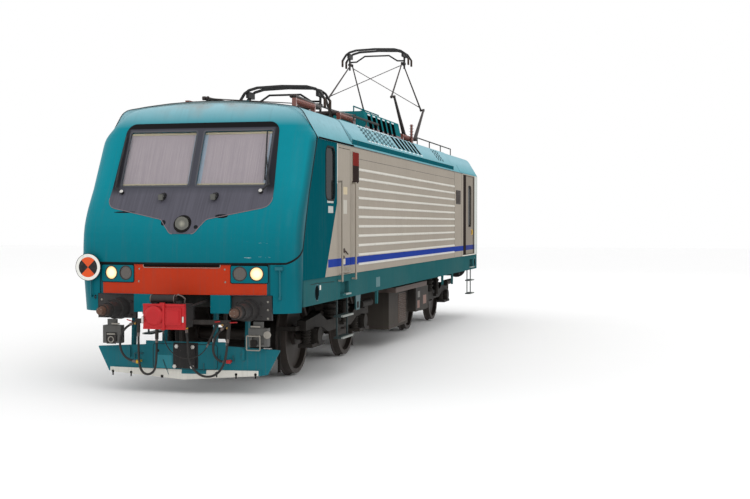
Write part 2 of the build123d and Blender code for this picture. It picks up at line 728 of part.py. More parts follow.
def roof_gear():
    w0, w1, z1, half = HOOD
    hood = prism_y([(-w0, 3680), (-w1, z1), (w1, z1), (w0, 3680)], -half, half)
    y, pitch, count = BAYS
    for k in range(count):
        a = y + 90 + k * (pitch + 20)
        bay = prism_y([(w1 - 45, 4062), (w1 + 60, 4062), (w0 + 60, 3790), (w0 - 62, 3790)], a, a + 270)
        hood -= both(bay)
    # low rails on the hood, conductor along the roof's edge, walkway rails
    for y0, y1, x, z, r, base in ((-1280, 560, 650, 4185, 12, z1 - 5), (1600, 5300, 1180, 3830, 12, 3680)):
        hood += both(rod((x, y0, z), (x, y1, z), r))
        for k in range(4):
            yk = y0 + r + (y1 - y0 - 2 * r) * k / 3
            hood += both(rod((x, yk, base), (x, yk, z), r * 0.9))
    hood += both(rod((950, -2460, 3905), (950, -700, 3905), 20))
    for yk in (-2400, -1560, -760):
        hood += both(rod((950, yk, 3690), (950, yk, 3905), 12))
    hood += box(-500, 500, 4700, 5500, 3700, 3900) + box(-300, 300, -5700, -5100, 3700, 3850)
    return hood - hull(-GAP, -6300, 7100) - hull(1, -6300, 7100)


# Long insulators beside the pantographs: near and far end from the pantograph's centre, x
LONG_INSULATORS = ((310, 1215), (1140, 2040))
LONG_X = 810


def finned(a, b, core, fin, count):
    run = Vector(*b) - Vector(*a)
    step = run.length / count
    pts = [(0, 0)]
    for k in range(count):
        pts += [(core, k * step), (core, k * step + step * 0.45), (fin, k * step + step * 0.55), (core, k * step + step * 0.7)]
    pts += [(core, run.length), (0, run.length)]
    plane = Plane(origin=a, z_dir=run)
    face = make_face(Polyline(*[plane.from_local_coords((r, 0, h)) for r, h in pts], close=True))
    return revolve(face, Axis(a, run), 360)


def roof_insulators():
    out = []
    for s, places in ((-1, LONG_INSULATORS), (1, LONG_INSULATORS[:1])):
        for (near, far), flip in zip(places, (1, -1)):
            y0, y1 = sorted((s * (PANTO_Y - flip * near), s * (PANTO_Y - flip * far)))
            one = finned((LONG_X, y0, 3890), (LONG_X, y1, 3890), 34, 47, 12)
            one += box(LONG_X - 30, LONG_X + 30, y0 - 40, y0 + 10, 3700, 3930)
            one += box(LONG_X - 30, LONG_X + 30, y1 - 10, y1 + 40, 3700, 3930)
            out += [one, mirror(one, about=Plane.YZ)]
    post = finned((880, 2480, 3690), (880, 2480, 4165), 26, 52, 8)
    out += [post, mirror(post, about=Plane.YZ)]
    skin = hull(-GAP, -6300, 7100)
    return Compound([o - skin for o in out])


def wheelset(y):
    r = WHEEL_R
    gx = GAUGE_FACE_X
    profile = [(0, 0), (0, AXLE_R), (gx - 30, AXLE_R), (gx - 30, 130), (gx + 20, 140), (gx + 30, 470), (gx, 480),
               (gx, r + 12), (gx + 8, r + FLANGE_DEPTH), (gx + 24, r + FLANGE_DEPTH), (gx + 36, r + 6),
               (gx + 60, r + 1), (gx + WHEEL_WIDTH, r - 4), (gx + WHEEL_WIDTH, 480), (gx + 70, 470),
               (gx + 80, 140), (gx + 130, 130), (gx + 130, JOURNAL_R), (1120, JOURNAL_R), (1120, 0)]
    face = make_face(Polyline(*[(x, 0, z) for x, z in profile], close=True))
    half = revolve(face, Axis.X, 360)
    return Pos(0, y, WHEEL_R) * both(half)


def bogie_frame(yc):
    side = prism_x([(-1780, 650), (-1780, 790), (-1060, 850), (-720, 720), (720, 720), (1060, 850), (1780, 790),
                    (1780, 650), (990, 650), (650, 550), (-650, 550), (-990, 650)], 960, 1090)
    frame = both(side)
    frame += box(-970, 970, -250, 250, 590, 700)
    frame -= rod((0, 0, 500), (0, 0, 900), PIVOT_R + BEARING_PLAY)
    frame += ring((0, 0, 520), (0, 0, 760), 190, PIVOT_R + BEARING_PLAY)
    for s in (-1, 1):
        # life guards down to the rail, in front of and behind the wheels
        guard = box(735, 1000, s * 1945 - 20, s * 1945 + 20, 660, 720)
        guard += box(960, 1000, min(s * 1770, s * 1965), max(s * 1770, s * 1965), 660, 720)
        guard += box(735, 775, s * 1945 - 10, s * 1945 + 10, 85, 680)
        frame += both(guard)
    # damper above the rear end of each side, and the upright one in the middle
    frame += both(rod((1175, 900, 850), (1175, 1560, 850), 58) + box(1060, 1180, 1180, 1240, 770, 850))
    frame += both(rod((1150, 0, 640), (1150, 0, 960), 42) + box(1080, 1160, -30, 30, 600, 660))
    return Pos(0, yc, 0) * frame


def coil(x, y, z0, z1, r, turns):
    # a coil spring as one turned solid
    step = (z1 - z0) / turns
    pts = [(0, z0)]
    for k in range(turns):
        z = z0 + k * step
        pts += [(r * 0.8, z), (r, z + step * 0.25), (r, z + step * 0.55), (r * 0.8, z + step * 0.8)]
    pts += [(r * 0.8, z1), (0, z1)]
    face = make_face(Polyline(*[(x + a, y, z) for a, z in pts], close=True))
    return revolve(face, Axis((x, y, 0), (0, 0, 1)), 360)


def running_gear(yc):
    out = []
    for sy in (-1, 1):
        y = sy * AXLE_OFFSET
        # axlebox with its two wings and springs
        a = rod((905, y, WHEEL_R), (1140, y, WHEEL_R), 98) + rod((1094, y, WHEEL_R), (1165, y, WHEEL_R), 120)
        a += box(930, 1140, y - 310, y + 310, 400, 450)
        a += box(930, 1140, y - 100, y + 100, 400, 650 - GAP)
        for d in (-235, 235):
            a += coil(1025, y + d, 445, 650 - GAP, 68, 5)
        a -= rod((800, y, WHEEL_R), (1122, y, WHEEL_R), JOURNAL_R + BEARING_PLAY)
        out += [a, mirror(a, about=Plane.YZ)]
        c = coil(1025, sy * 330, 720 + GAP, 1330, 118, 7)
        out += [c, mirror(c, about=Plane.YZ)]
        # traction motor seated on the transom, with its gearcase round the axle
        m = rod((-450, sy * 620, 560), (450, sy * 620, 560), 285)
        m += box(-320, 320, min(sy * (250 + GAP), sy * 420), max(sy * (250 + GAP), sy * 420), 560, 690)
        m += rod((480, y, WHEEL_R), (620, y, WHEEL_R), 230)
        m += box(480, 620, min(sy * 620, y), max(sy * 620, y), 420, 700) + rod((440, sy * 620, 560), (620, sy * 620, 560), 200)
        m -= rod((400, y, WHEEL_R), (700, y, WHEEL_R), AXLE_R + RUN_CLEARANCE)
        out.append(m)
    return Pos(0, yc, 0) * Compound(out)


def panto_base(yc):
    frame = both(box(560, 620, -760, 760, 3850, 3885))
    for s in (-1, 1):
        y = s * SHAFT_HALF
        frame += box(-620, 620, y - 30, y + 30, 3850, 3885)
        frame += both(box(600, 640, y - 60, y + 60, 3850, SHAFT_Z + 55))
        frame -= rod((-800, y, SHAFT_Z), (800, y, SHAFT_Z), SHAFT_R + PIN_PLAY)
        frame += both(rod((590, s * 700, 3745), (590, s * 700, 3865), 55))
    # raising springs and the cylinder between the shafts
    frame += rod((-300, -400, 3868), (-300, 400, 3868), 42) + rod((300, -400, 3868), (300, 400, 3868), 42)
    frame += box(-340, 340, -420, -380, 3850, 3885) + box(-340, 340, 380, 420, 3850, 3885)
    frame += box(-600, 600, -410, -390, 3850, 3870) + box(-600, 600, 390, 410, 3850, 3870)
    frame -= hull(-GAP, -2000, 2000)
    return Pos(0, yc, 0) * frame


def lower_frame(yc, side, angle):
    a = side * SHAFT_HALF
    t = radians(angle)
    ky = a + side * LOWER_LEN * cos(t)
    kz = SHAFT_Z + LOWER_LEN * sin(t)
    f = rod((-747, a, SHAFT_Z), (747, a, SHAFT_Z), SHAFT_R)
    f += both(rod((705, a, SHAFT_Z), (705, ky, kz), 42, 22))
    f += both(rod((667, ky, kz), (727, ky, kz), 15))
    f += both(rod((683, ky, kz), (727, ky, kz), 30))
    f += both(rod((620, ky, kz), (668, ky, kz), 15))
    return Pos(0, yc, 0) * f


def knee(side, angle):
    t = radians(angle)
    return side * (SHAFT_HALF + LOWER_LEN * cos(t)), SHAFT_Z + LOWER_LEN * sin(t)


def tapered(a, b, *radii):
    # tube with a thicker foot and head, as radii at its foot, above the foot, below the head and at the head
    a, b = Vector(*a), Vector(*b)
    stops = [a, a + (b - a) * 0.12, a + (b - a) * 0.88, b]
    return join([rod(p, q, r, t) for p, q, r, t in zip(stops, stops[1:], radii, radii[1:])])


def upper_frame(yc, side, low, high):
    ky, kz = knee(side, low)
    t = radians(high)
    ty = ky - side * UPPER_LEN * cos(t)
    tz = kz + UPPER_LEN * sin(t)
    f = both(tapered((648, ky, kz), (551, ty, tz), 20, 17, 13, 15))
    f += both(rod((634, ky, kz), (662, ky, kz), 30))
    f += both(rod((535, ty, tz), (567, ty, tz), 29))
    # one brace from the knee on one side to the head on the other
    low_end = (side * 648 - side * 6, ky + (ty - ky) * 0.06, kz + (tz - kz) * 0.06)
    top_end = (-side * 557, ky + (ty - ky) * 0.94, kz + (tz - kz) * 0.94)
    f += tapered(low_end, top_end, 10, 8, 7.5, 9)
    f -= rod((-800, ky, kz), (800, ky, kz), KNEE_PIN_R + PIN_PLAY)
    f -= rod((-800, ty, tz), (800, ty, tz), HEAD_PIN_R + PIN_PLAY if side < 0 else FREE_PIN_R + FREE_PLAY)
    return Pos(0, yc, 0) * f


def head(yc, low, high):
    ky, kz = knee(-1, low)
    tz = kz + UPPER_LEN * sin(radians(high))
    top = tz + HEAD_RISE
    f = None
    for y, r in ((-HEAD_HALF, HEAD_PIN_R), (HEAD_HALF, FREE_PIN_R)):
        pin = both(rod((530, y, tz), (600, y, tz), r))
        f = pin if f is None else f + pin
    # posts, spring boxes and the cranked cross rod
    for s in (-1, 1):
        f += rod((s * 590, 0, tz - 110), (s * 590, 0, top - 170), 20)
        f += box(s * 590 - 16, s * 590 + 16, -HEAD_HALF - 22, HEAD_HALF + 22, tz - 20, tz + 24)
        f += box(s * 590 - 12, s * 590 + 12, -150, 150, top - 190, top - 160)
    crank = ((-590, tz + 60), (-440, tz + 64), (-262, tz + 178), (262, tz + 178), (440, tz + 64), (590, tz + 60))
    for a, b in zip(crank, crank[1:]):
        f += rod((a[0], 0, a[1]), (b[0], 0, b[1]), 16)
        f += Pos(b[0], 0, b[1]) * Sphere(16)
    # two bows with their strips and down-turned tips
    bow = ((-723, top - 372), (-723, top - 236), (-640, top - 110), (-560, top - 55), (-415, top - 16), (0, top),
           (415, top - 16), (560, top - 55), (640, top - 110), (723, top - 236), (723, top - 372))
    for y in (-150, 150):
        outer = [(x, z) for x, z in bow]
        inner = [(x * 0.968, z - 28) for x, z in bow[1:-1]]
        face_pts = outer + [(700, top - 372)] + list(reversed(inner)) + [(-700, top - 372)]
        f += prism_y(face_pts, y - 22, y + 22)
    f += both(box(560, 606, -150, 150, top - 190, top - 90))
    return Pos(0, yc, 0) * f


# Free hoses at the front: outer radius, points
HOSES = {
    "hose_left_brake": (15, ((-672, -7340, 868), (-754, -7352, 830), (-828, -7370, 723), (-841, -7380, 574),
                             (-793, -7372, 454), (-714, -7352, 392), (-635, -7330, 378))),
    "hose_left_main": (15, ((-597, -7340, 749), (-588, -7362, 499), (-562, -7385, 316), (-508, -7396, 238),
                            (-427, -7400, 221), (-357, -7398, 266), (-334, -7390, 358), (-334, -7370, 518),
                            (-345, -7340, 670))),
    "hose_right_main": (15, ((60, -7340, 805), (83, -7358, 677), (104, -7388, 428), (179, -7396, 298),
                             (278, -7401, 229), (387, -7404, 214), (490, -7406, 252), (570, -7406, 341),
                             (617, -7398, 483), (624, -7362, 693))),
    "coupler_cable": (6, ((-262, -7330, 790), (-243, -7352, 700), (-196, -7384, 602), (-120, -7410, 520),
                          (-24, -7424, 464), (80, -7428, 442), (180, -7424, 450), (268, -7412, 488),
                          (334, -7396, 550), (366, -7376, 630))),
    "hose_right_brake": (15, ((560, -7340, 836), (480, -7348, 764), (434, -7354, 670), (420, -7354, 540),
                              (455, -7350, 452), (527, -7340, 402), (593, -7330, 405))),
}


def hose(name):
    r, pts = HOSES[name]
    vec = [Vector(*p) for p in pts]
    radii = []
    for i in range(1, len(vec) - 1):
        a = vec[i] - vec[i - 1]
        b = vec[i + 1] - vec[i]
        turn = radians(a.get_angle(b))
        radii.append(0.45 * min(a.length, b.length) / tan(turn / 2))
    path = FilletPolyline(*pts, radius=radii)
    section = Plane(origin=path @ 0, z_dir=path % 0) * Circle(r)
    body = sweep(section, path=path)
    print(name, "length", round(path.length, 1), "radii", [round(v) for v in radii],
          "volume ratio", round(body.volume / (pi * r * r * path.length), 4))
    return body


def save(name, shape):
    shape = Pos(0, 0, FLANGE_DEPTH) * shape
    solids = shape.solids()
    out = solids[0] if len(solids) == 1 else Compound(children=solids)
    out.label = name
    export_step(out, "parts/" + name + ".step")
    print(name, len(solids), "solids, volume", round(sum(s.volume for s in solids) / 1e9, 4))


def mirrored(shape):
    return mirror(shape, about=Plane.YZ)


NODES = {
    "underframe": underframe,
    "side_wall_left": side_wall,
    "side_wall_right": lambda: mirrored(side_wall()),
    "roof": roof,
    "cab_shell": cab_shell,
    "front_skirt": front_skirt,
    "nose_panel": nose_panel,
    "screen_mask": screen_mask,
    "glazing": glazing,
    "cross_walls": lambda: Compound([rear_wall(), *bulkheads().solids()]),
    "machinery_block": machinery_block,
    "cab_fittings": cab_fittings,
    "sunblinds": sunblinds,
    "lamps": lamps,
    "front_buffers": front_buffers,
    "rear_buffers": rear_buffers,
    "auto_coupler": auto_coupler,
    "coupler_cover": coupler_cover,
    "rear_coupling": rear_coupling,
    "plough": plough,
    "end_fittings": end_fittings,
    "handrails": handrails,
    "steps": steps,
    "wipers": wipers,
    "signal_disc": signal_disc,
    "gangway_bellows": gangway_bellows,
    "underfloor_gear": underfloor_gear,
    "roof_gear": roof_gear,
    "roof_insulators": roof_insulators,
    "cab_door_left": cab_door,
    "cab_door_right": lambda: mirrored(cab_door()),
    "rear_door_left": rear_door,
    "rear_door_right": lambda: mirrored(rear_door()),
    "rear_glass_left": rear_door_glass,
    "rear_glass_right": lambda: mirrored(rear_door_glass()),
    "gangway_door": gangway_door,
    "bogie_frame_front": lambda: bogie_frame(-PIVOT_Y),
    "bogie_frame_rear": lambda: bogie_frame(PIVOT_Y),
    "running_gear_front": lambda: running_gear(-PIVOT_Y),
    "running_gear_rear": lambda: running_gear(PIVOT_Y),
    "wheelset_1": lambda: wheelset(-PIVOT_Y - AXLE_OFFSET),
    "wheelset_2": lambda: wheelset(-PIVOT_Y + AXLE_OFFSET),
    "wheelset_3": lambda: wheelset(PIVOT_Y - AXLE_OFFSET),
    "wheelset_4": lambda: wheelset(PIVOT_Y + AXLE_OFFSET),
    "pantograph_bases": lambda: Compound([panto_base(-PANTO_Y), panto_base(PANTO_Y)]),
    "front_lower_a": lambda: lower_frame(-PANTO_Y, -1, FOLD_LOWER),
    "front_lower_b": lambda: lower_frame(-PANTO_Y, 1, FOLD_LOWER),
    "front_upper_a": lambda: upper_frame(-PANTO_Y, -1, FOLD_LOWER, FOLD_UPPER),
    "front_upper_b": lambda: upper_frame(-PANTO_Y, 1, FOLD_LOWER, FOLD_UPPER),
    "front_head": lambda: head(-PANTO_Y, FOLD_LOWER, FOLD_UPPER),
    "rear_lower_a": lambda: lower_frame(PANTO_Y, -1, RAISE_LOWER),
    "rear_lower_b": lambda: lower_frame(PANTO_Y, 1, RAISE_LOWER),
    "rear_upper_a": lambda: upper_frame(PANTO_Y, -1, RAISE_LOWER, RAISE_UPPER),
    "rear_upper_b": lambda: upper_frame(PANTO_Y, 1, RAISE_LOWER, RAISE_UPPER),
    "rear_head": lambda: head(PANTO_Y, RAISE_LOWER, RAISE_UPPER),
}

for node, make in NODES.items():
    save(node, make())
for node in HOSES:
    save(node, hose(node))
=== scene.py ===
from math import radians

import bpy
import numpy as np
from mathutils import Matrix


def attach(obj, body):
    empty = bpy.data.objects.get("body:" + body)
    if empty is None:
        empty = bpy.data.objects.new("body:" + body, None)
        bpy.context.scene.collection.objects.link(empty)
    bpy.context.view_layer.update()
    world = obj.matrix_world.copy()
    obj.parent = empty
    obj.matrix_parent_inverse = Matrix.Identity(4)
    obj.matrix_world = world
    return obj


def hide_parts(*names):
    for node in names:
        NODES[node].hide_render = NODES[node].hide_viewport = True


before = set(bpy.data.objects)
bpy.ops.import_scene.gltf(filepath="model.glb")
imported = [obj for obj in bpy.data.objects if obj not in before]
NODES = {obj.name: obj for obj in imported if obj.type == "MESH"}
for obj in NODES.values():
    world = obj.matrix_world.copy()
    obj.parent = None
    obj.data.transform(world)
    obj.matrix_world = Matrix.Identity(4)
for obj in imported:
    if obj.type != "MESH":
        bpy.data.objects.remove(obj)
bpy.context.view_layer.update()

# Height of the rail's top in the frame. All other places are in mm above it, as in the CAD.
RAIL_Z = 28
# Directions: the cab lies at -y, the left side at +x
X, Y, Z, AHEAD = (1, 0, 0), (0, 1, 0), (0, 0, 1), (0, -1, 0)
SIDE_X = 1500
SOLEBAR_X = 1488
LAMP_X, LAMP_Z, TOP_LAMP_Z = (985, 772), 1513, 2140
BUFFER_X, BUFFER_Z = 875, 1055
DISC_X, DISC_Z = -1299, 1580
JACK_Y, JACK_Z = (-6360, 6830), 1232
# y of the fronts of the buffers' plates, end sockets, coupler cover, pipe rail and plough, and the plough's rake
PLATE_Y, SOCKET_Y, COVER_Y, PIPE_Y = -7291, -7284, -7904, -7330
PLOUGH_Y, PLOUGH_RAKE = -7292, 0.1008
# Planes of the vent bays on the slope and on the hood: x and z of the foot, then the shares of the run that go
# inward and up. What lies behind them is painted black as shade.
VENT_SLOPE = (1486, 3392, 0.6045, 0.7966)
HOOD_SIDE = (935, 3680, 0.203, 0.979)


def floats(values):
    """The values as an array of floats."""
    return np.asarray(values, float)


def at(points):
    """Points in mm above the rail, as the numbers here are, to metres in the frame."""
    return (floats(points) + (0, 0, RAIL_Z)) / 1000


# Shapes. A shape is (points, [faces, ...]): points in mm above the rail, each faces array with rows of one length.


def skin(rings, closed=False):
    """Skin over rings[i, j], with j going round ring i: side quads, and a flat cap on each end unless closed."""
    rings = floats(rings)
    m, n = rings.shape[:2]
    i = np.arange(m if closed else m - 1)[:, None]
    j = np.arange(n)[None, :]
    k = (i + 1) % m
    quads = np.stack([i * n + j, i * n + (j + 1) % n, k * n + (j + 1) % n, k * n + j], axis=-1).reshape(-1, 4)
    faces = [quads]
    if not closed:
        faces.append(np.arange(n)[::-1][None, :])
        faces.append((m - 1) * n + np.arange(n)[None, :])
    points = rings.reshape(-1, 3)
    a, b, c, d = (points[quads[:, q]] for q in range(4))
    mid = points.mean(axis=0)
    volume = np.einsum("ij,ij->i", np.cross(a - mid, b - mid), c - mid).sum()
    volume += np.einsum("ij,ij->i", np.cross(a - mid, c - mid), d - mid).sum()
    if volume < 0:
        faces = [f[:, ::-1] for f in faces]
    return points, faces


def block(x0, x1, y0, y1, z0, z1, c=3):
    """Box with bevelled edges: octagon rings, drawn in by the bevel at the lower and upper end."""
    def ring(d, z):
        a, b, e, f = x0 + d, x1 - d, y0 + d, y1 - d
        return [(a + c, e, z), (b - c, e, z), (b, e + c, z), (b, f - c, z), (b - c, f, z), (a + c, f, z),
                (a, f - c, z), (a, e + c, z)]
    return skin([ring(c, z0), ring(0, z0 + c), ring(0, z1 - c), ring(c, z1)])


def circle(n):
    """Cosines and sines of n even steps round a circle, as n rows."""
    turn = np.arange(n) * 2 * np.pi / n
    return np.stack([np.cos(turn), np.sin(turn)], axis=1)


def unit(v):
    """Rows scaled to length 1."""
    return v / np.linalg.norm(v, axis=-1, keepdims=True)


def basis(axis):
    """The unit axis and two unit vectors across it."""
    axis = unit(floats(axis))
    side = (0, 0, 1.0) if abs(axis[2]) < 0.9 else (0, 1.0, 0)
    u = unit(np.cross(side, axis))
    return axis, u, np.cross(axis, u)


def lathe(origin, axis, profile, n=20, closed=False):
    """Surface of revolution: profile rows are (radius, distance along the axis from the origin)."""
    axis, u, v = basis(axis)
    profile = floats(profile)
    c = circle(n)
    around = c[:, :1] * u + c[:, 1:] * v
    rings = floats(origin) + profile[:, :1, None] * around + profile[:, 1:, None] * axis
    return skin(rings, closed)


def rod(a, b, r, n=12):
    """Round bar from a to b with bevelled ends."""
    a = floats(a)
    b = floats(b)
    long = np.linalg.norm(b - a)
    return lathe(a, b - a, [(r * 0.8, 0), (r, r * 0.2), (r, long - r * 0.2), (r * 0.8, long)], n)


def hoop(origin, axis, r, thick, n=28, m=8):
    """Torus: a circle of radius thick carried round a circle of radius r about the axis."""
    c = circle(m)
    return lathe(origin, axis, np.stack([r + thick * c[:, 0], thick * c[:, 1]], axis=1), n, True)


def sweep(path, section, up, closed=False):
    """Section rows (across, up) carried along the path, upright along up, one vector or one for each point."""
    path = floats(path)
    section = floats(section)
    if closed:
        run = np.roll(path, -1, axis=0) - np.roll(path, 1, axis=0)
    else:
        run = np.gradient(path, axis=0)
    run = unit(run)
    side = unit(np.cross(run, floats(up)))
    high = np.cross(side, run)
    rings = path[:, None] + section[None, :, :1] * side[:, None] + section[None, :, 1:] * high[:, None]
    return skin(rings, closed)


def bar(path, r, up=(0, 0, 1), n=8):
    """Bent round bar along the path's rows."""
    return sweep(path, circle(n) * r, up)


def strip(wide, high):
    """Section of a low strip: foot just under the surface, rounded top."""
    w = wide / 2
    return [(-w, -2), (-w, high * 0.6), (-w * 0.4, high), (w * 0.4, high), (w, high * 0.6), (w, -2)]


def rounded(u0, u1, v0, v1, r, n=5):
    """Outline of a rectangle with round corners, as rows (u, v)."""
    turn = np.linspace(0, np.pi / 2, n)
    parts = []
    for k, (cu, cv) in enumerate(((u1 - r, v1 - r), (u0 + r, v1 - r), (u0 + r, v0 + r), (u1 - r, v0 + r))):
        a = turn + k * np.pi / 2
        parts.append(np.stack([cu + r * np.cos(a), cv + r * np.sin(a)], axis=1))
    return np.concatenate(parts)


def on_plane(outline, origin, u, v):
    """Outline rows (u, v) laid on the plane of the directions u and v through the origin."""
    outline = floats(outline)
    return floats(origin) + outline[:, :1] * floats(u) + outline[:, 1:] * floats(v)


def plate(outline, origin, u, v, thick):
    """Flat plate: the outline on its plane, thickened along the cross product of u and v."""
    face = on_plane(outline, origin, u, v)
    return skin([face, face + np.cross(u, v) * thick])


def seal(outline, origin, u, v, wide, high):
    """Low strip carried round an outline on the plane of u and v."""
    return sweep(on_plane(outline, origin, u, v), strip(wide, high), np.cross(u, v), True)


def scatter(shape, places):
    """The same shape set at each of the places, by broadcasting."""
    points, faces = shape
    places = floats(places).reshape(-1, 3)
    many = (places[:, None] + points[None]).reshape(-1, 3)
    step = np.arange(len(places))[:, None, None] * len(points)
    return many, [(f[None] + step).reshape(-1, f.shape[1]) for f in faces]


def mirror(shape):
    """The shape on the other side, with its faces turned outward again."""
    points, faces = shape
    return points * (-1, 1, 1), [f[:, ::-1] for f in faces]


def bolt(axis, r=13, high=9):
    """Hexagonal bolt head with a chamfer and a washer, standing on the origin along the axis."""
    return lathe((0, 0, 0), axis, [(r * 1.35, 0), (r * 1.35, high * 0.2), (r, high * 0.2), (r, high * 0.8),
                                   (r * 0.8, high)], 6)


def fine(points, step=60.0, closed=False):
    """Rows with more points on their straight runs, so that a strip can follow a curved surface."""
    points = floats(points)
    if closed:
        points = np.concatenate([points, points[:1]])
    along = np.concatenate([[0], np.cumsum(np.linalg.norm(np.diff(points, axis=0), axis=1))])
    stops = np.union1d(along, np.arange(0, along[-1], step))
    stops = stops[np.concatenate([[True], np.diff(stops) > 1])]
    rows = np.stack([np.interp(stops, along, points[:, k]) for k in range(points.shape[1])], axis=1)
    return rows[:-1] if closed else rows


# The nose, as in the CAD: height, front y at the centre, half width, corner radius, edge turn in degrees
NOSE = np.array((
    (990, -7385, 1500, 400, 10), (1640, -7380, 1500, 250, 10), (1900, -7368, 1500, 250, 10),
    (2020, -7352, 1500, 251, 9.7), (2110, -7326, 1500, 253, 9), (2190, -7289, 1500, 256, 8),
    (2260, -7248, 1500, 259, 7), (2330, -7203, 1500, 263, 5.8), (2430, -7131, 1500, 270, 4.2),
    (2520, -7066, 1500, 275, 3), (2600, -7009, 1500, 280, 2), (3193, -6741, 1500, 330, 2),
    (3480, -6612, 1500, 330, 2)))


def nose_y(x, z):
    """y of the nose at x and z: a slow arc across the front that runs on into the corner's arc."""
    front, wide, corner, turn = (np.interp(z, NOSE[:, 0], NOSE[:, k]) for k in (1, 2, 3, 4))
    t = np.radians(turn)
    big = (wide - corner) / np.sin(t) + corner
    x = np.minimum(np.abs(x), wide - 1)
    edge = wide - corner + corner * np.sin(t)
    flat = front + big - np.sqrt(big ** 2 - np.minimum(x, edge) ** 2)
    start = front + big * (1 - np.cos(t)) + corner * np.cos(t)
    bend = start - np.sqrt(np.maximum(corner ** 2 - np.maximum(x - wide + corner, 0) ** 2, 0))
    return np.where(x < edge, flat, bend)


def on_nose(points, out=0):
    """Rows (x, z) laid on the nose and moved outward, and the outward directions there."""
    x, z = floats(points).T
    y = nose_y(x, z)
    across = (nose_y(x + 2, z) - nose_y(x - 2, z)) / 4
    upward = (nose_y(x, z + 2) - nose_y(x, z - 2)) / 4
    away = unit(np.stack([across, -np.ones_like(x), upward], axis=1))
    return np.stack([x, y, z], axis=1) + out * away, away


def trim(points, wide, high, out=0, closed=False):
    """Low strip along rows (x, z) on the nose."""
    path, away = on_nose(fine(points, 60, closed), out)
    return sweep(path, strip(wide, high), away, closed)


def new_object(name, data):
    """A new object, linked to the scene."""
    obj = bpy.data.objects.new(name, data)
    bpy.context.scene.collection.objects.link(obj)
    return obj


class Piece:
    """Collects shapes with their materials, then becomes one mesh object that rides on a body."""

    def __init__(self, name, body="locomotive"):
        self.name = name
        self.body = body
        self.points = []
        self.faces = []
        self.slots = []
        self.materials = []
        self.count = 0

    def add(self, shape, material):
        """Takes in a shape in its material."""
        points, faces = shape
        if material not in self.materials:
            self.materials.append(material)
        self.points.append(points)
        for f in faces:
            self.faces += (f + self.count).tolist()
            self.slots += [self.materials.index(material)] * len(f)
        self.count += len(points)

    def pair(self, shape, material):
        """Takes in a shape and its mirror image."""
        self.add(shape, material)
        self.add(mirror(shape), material)

    def done(self):
        """The mesh, smooth up to its sharp edges, on its body."""
        mesh = bpy.data.meshes.new(self.name)
        mesh.from_pydata(at(np.concatenate(self.points)).tolist(), [], self.faces)
        mesh.update()
        for material in self.materials:
            mesh.materials.append(material)
        mesh.polygons.foreach_set("material_index", self.slots)
        mesh.polygons.foreach_set("use_smooth", [True] * len(self.faces))
        mesh.set_sharp_from_angle(angle=radians(32))
        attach(new_object(self.name, mesh), self.body)


# Materials. Colours are given as they look on screen, 0 to 255, apart from the two that weather() uses.
TEAL = (0, 98, 110)
# Painted light: the cab's teal turns to this higher up, as if lit from above
TOP_LIT_TEAL = (4, 128, 142)
# Painted shade: the teal on the sides, a darker copy of the front's teal
SHADED_TEAL = (0, 78, 88)
ROOF_TEAL = (150, 190, 200)
BEIGE = (160, 152, 141)
BLUE = (42, 64, 146)
ORANGE = (178, 48, 12)
BLACK = (22, 22, 24)
# Painted shade: black inside the vent bays
SHADE_BLACK = (12, 13, 14)
BARE = (18, 22, 26)
PLUG_YELLOW = (214, 170, 40)
GRIME = (0.09, 0.08, 0.07)
DUST = (0.20, 0.17, 0.14)


def linear(r, g, b):
    """Colour as it looks on screen, to linear light."""
    c = np.array((r, g, b)) / 255
    return tuple(float(v) for v in np.where(c <= 0.04045, c / 12.92, ((c + 0.055) / 1.055) ** 2.4))


def add_node(tree, kind, settings, sockets):
    """One node: its type, its settings first, then its sockets as values or as output sockets to link from."""
    made = tree.nodes.new(kind)
    for key, value in settings.items():
        setattr(made, key, value)
    for key, value in sockets.items():
        if isinstance(value, bpy.types.NodeSocket):
            tree.links.new(value, made.inputs[key])
        else:
            made.inputs[key].default_value = value
    return made


def operation(kind, swapped=False):
    """Method that adds a Math node of one kind, its terms swapped for a reflected form."""
    def method(self, other):
        return self.shade.math(kind, *((other, self) if swapped else (self, other)))
    return method


class Wire:
    """A shader socket that adds Math nodes by arithmetic."""

    def __init__(self, shade, socket):
        self.shade = shade
        self.socket = socket

    __add__ = __radd__ = operation("ADD")
    __sub__ = operation("SUBTRACT")
    __rsub__ = operation("SUBTRACT", True)
    __mul__ = __rmul__ = operation("MULTIPLY")
    __truediv__ = operation("DIVIDE")
    __rtruediv__ = operation("DIVIDE", True)
    __pow__ = operation("POWER")
    __gt__ = operation("GREATER_THAN")
    __lt__ = operation("LESS_THAN")

    def clip(self):
        """Held between 0 and 1."""
        return self.shade.math("ADD", self, 0, True)

    def size(self):
        """Without its sign."""
        return self.shade.math("ABSOLUTE", self, 0)

    def between(self, low, high):
        return (self > low) * (self < high)

    def ramp(self, low, high):
        """0 at low and 1 at high, straight in between."""
        return ((self - low) / (high - low)).clip()


def length(u, v):
    """Length of (u, v), both wires."""
    return (u * u + v * v) ** 0.5


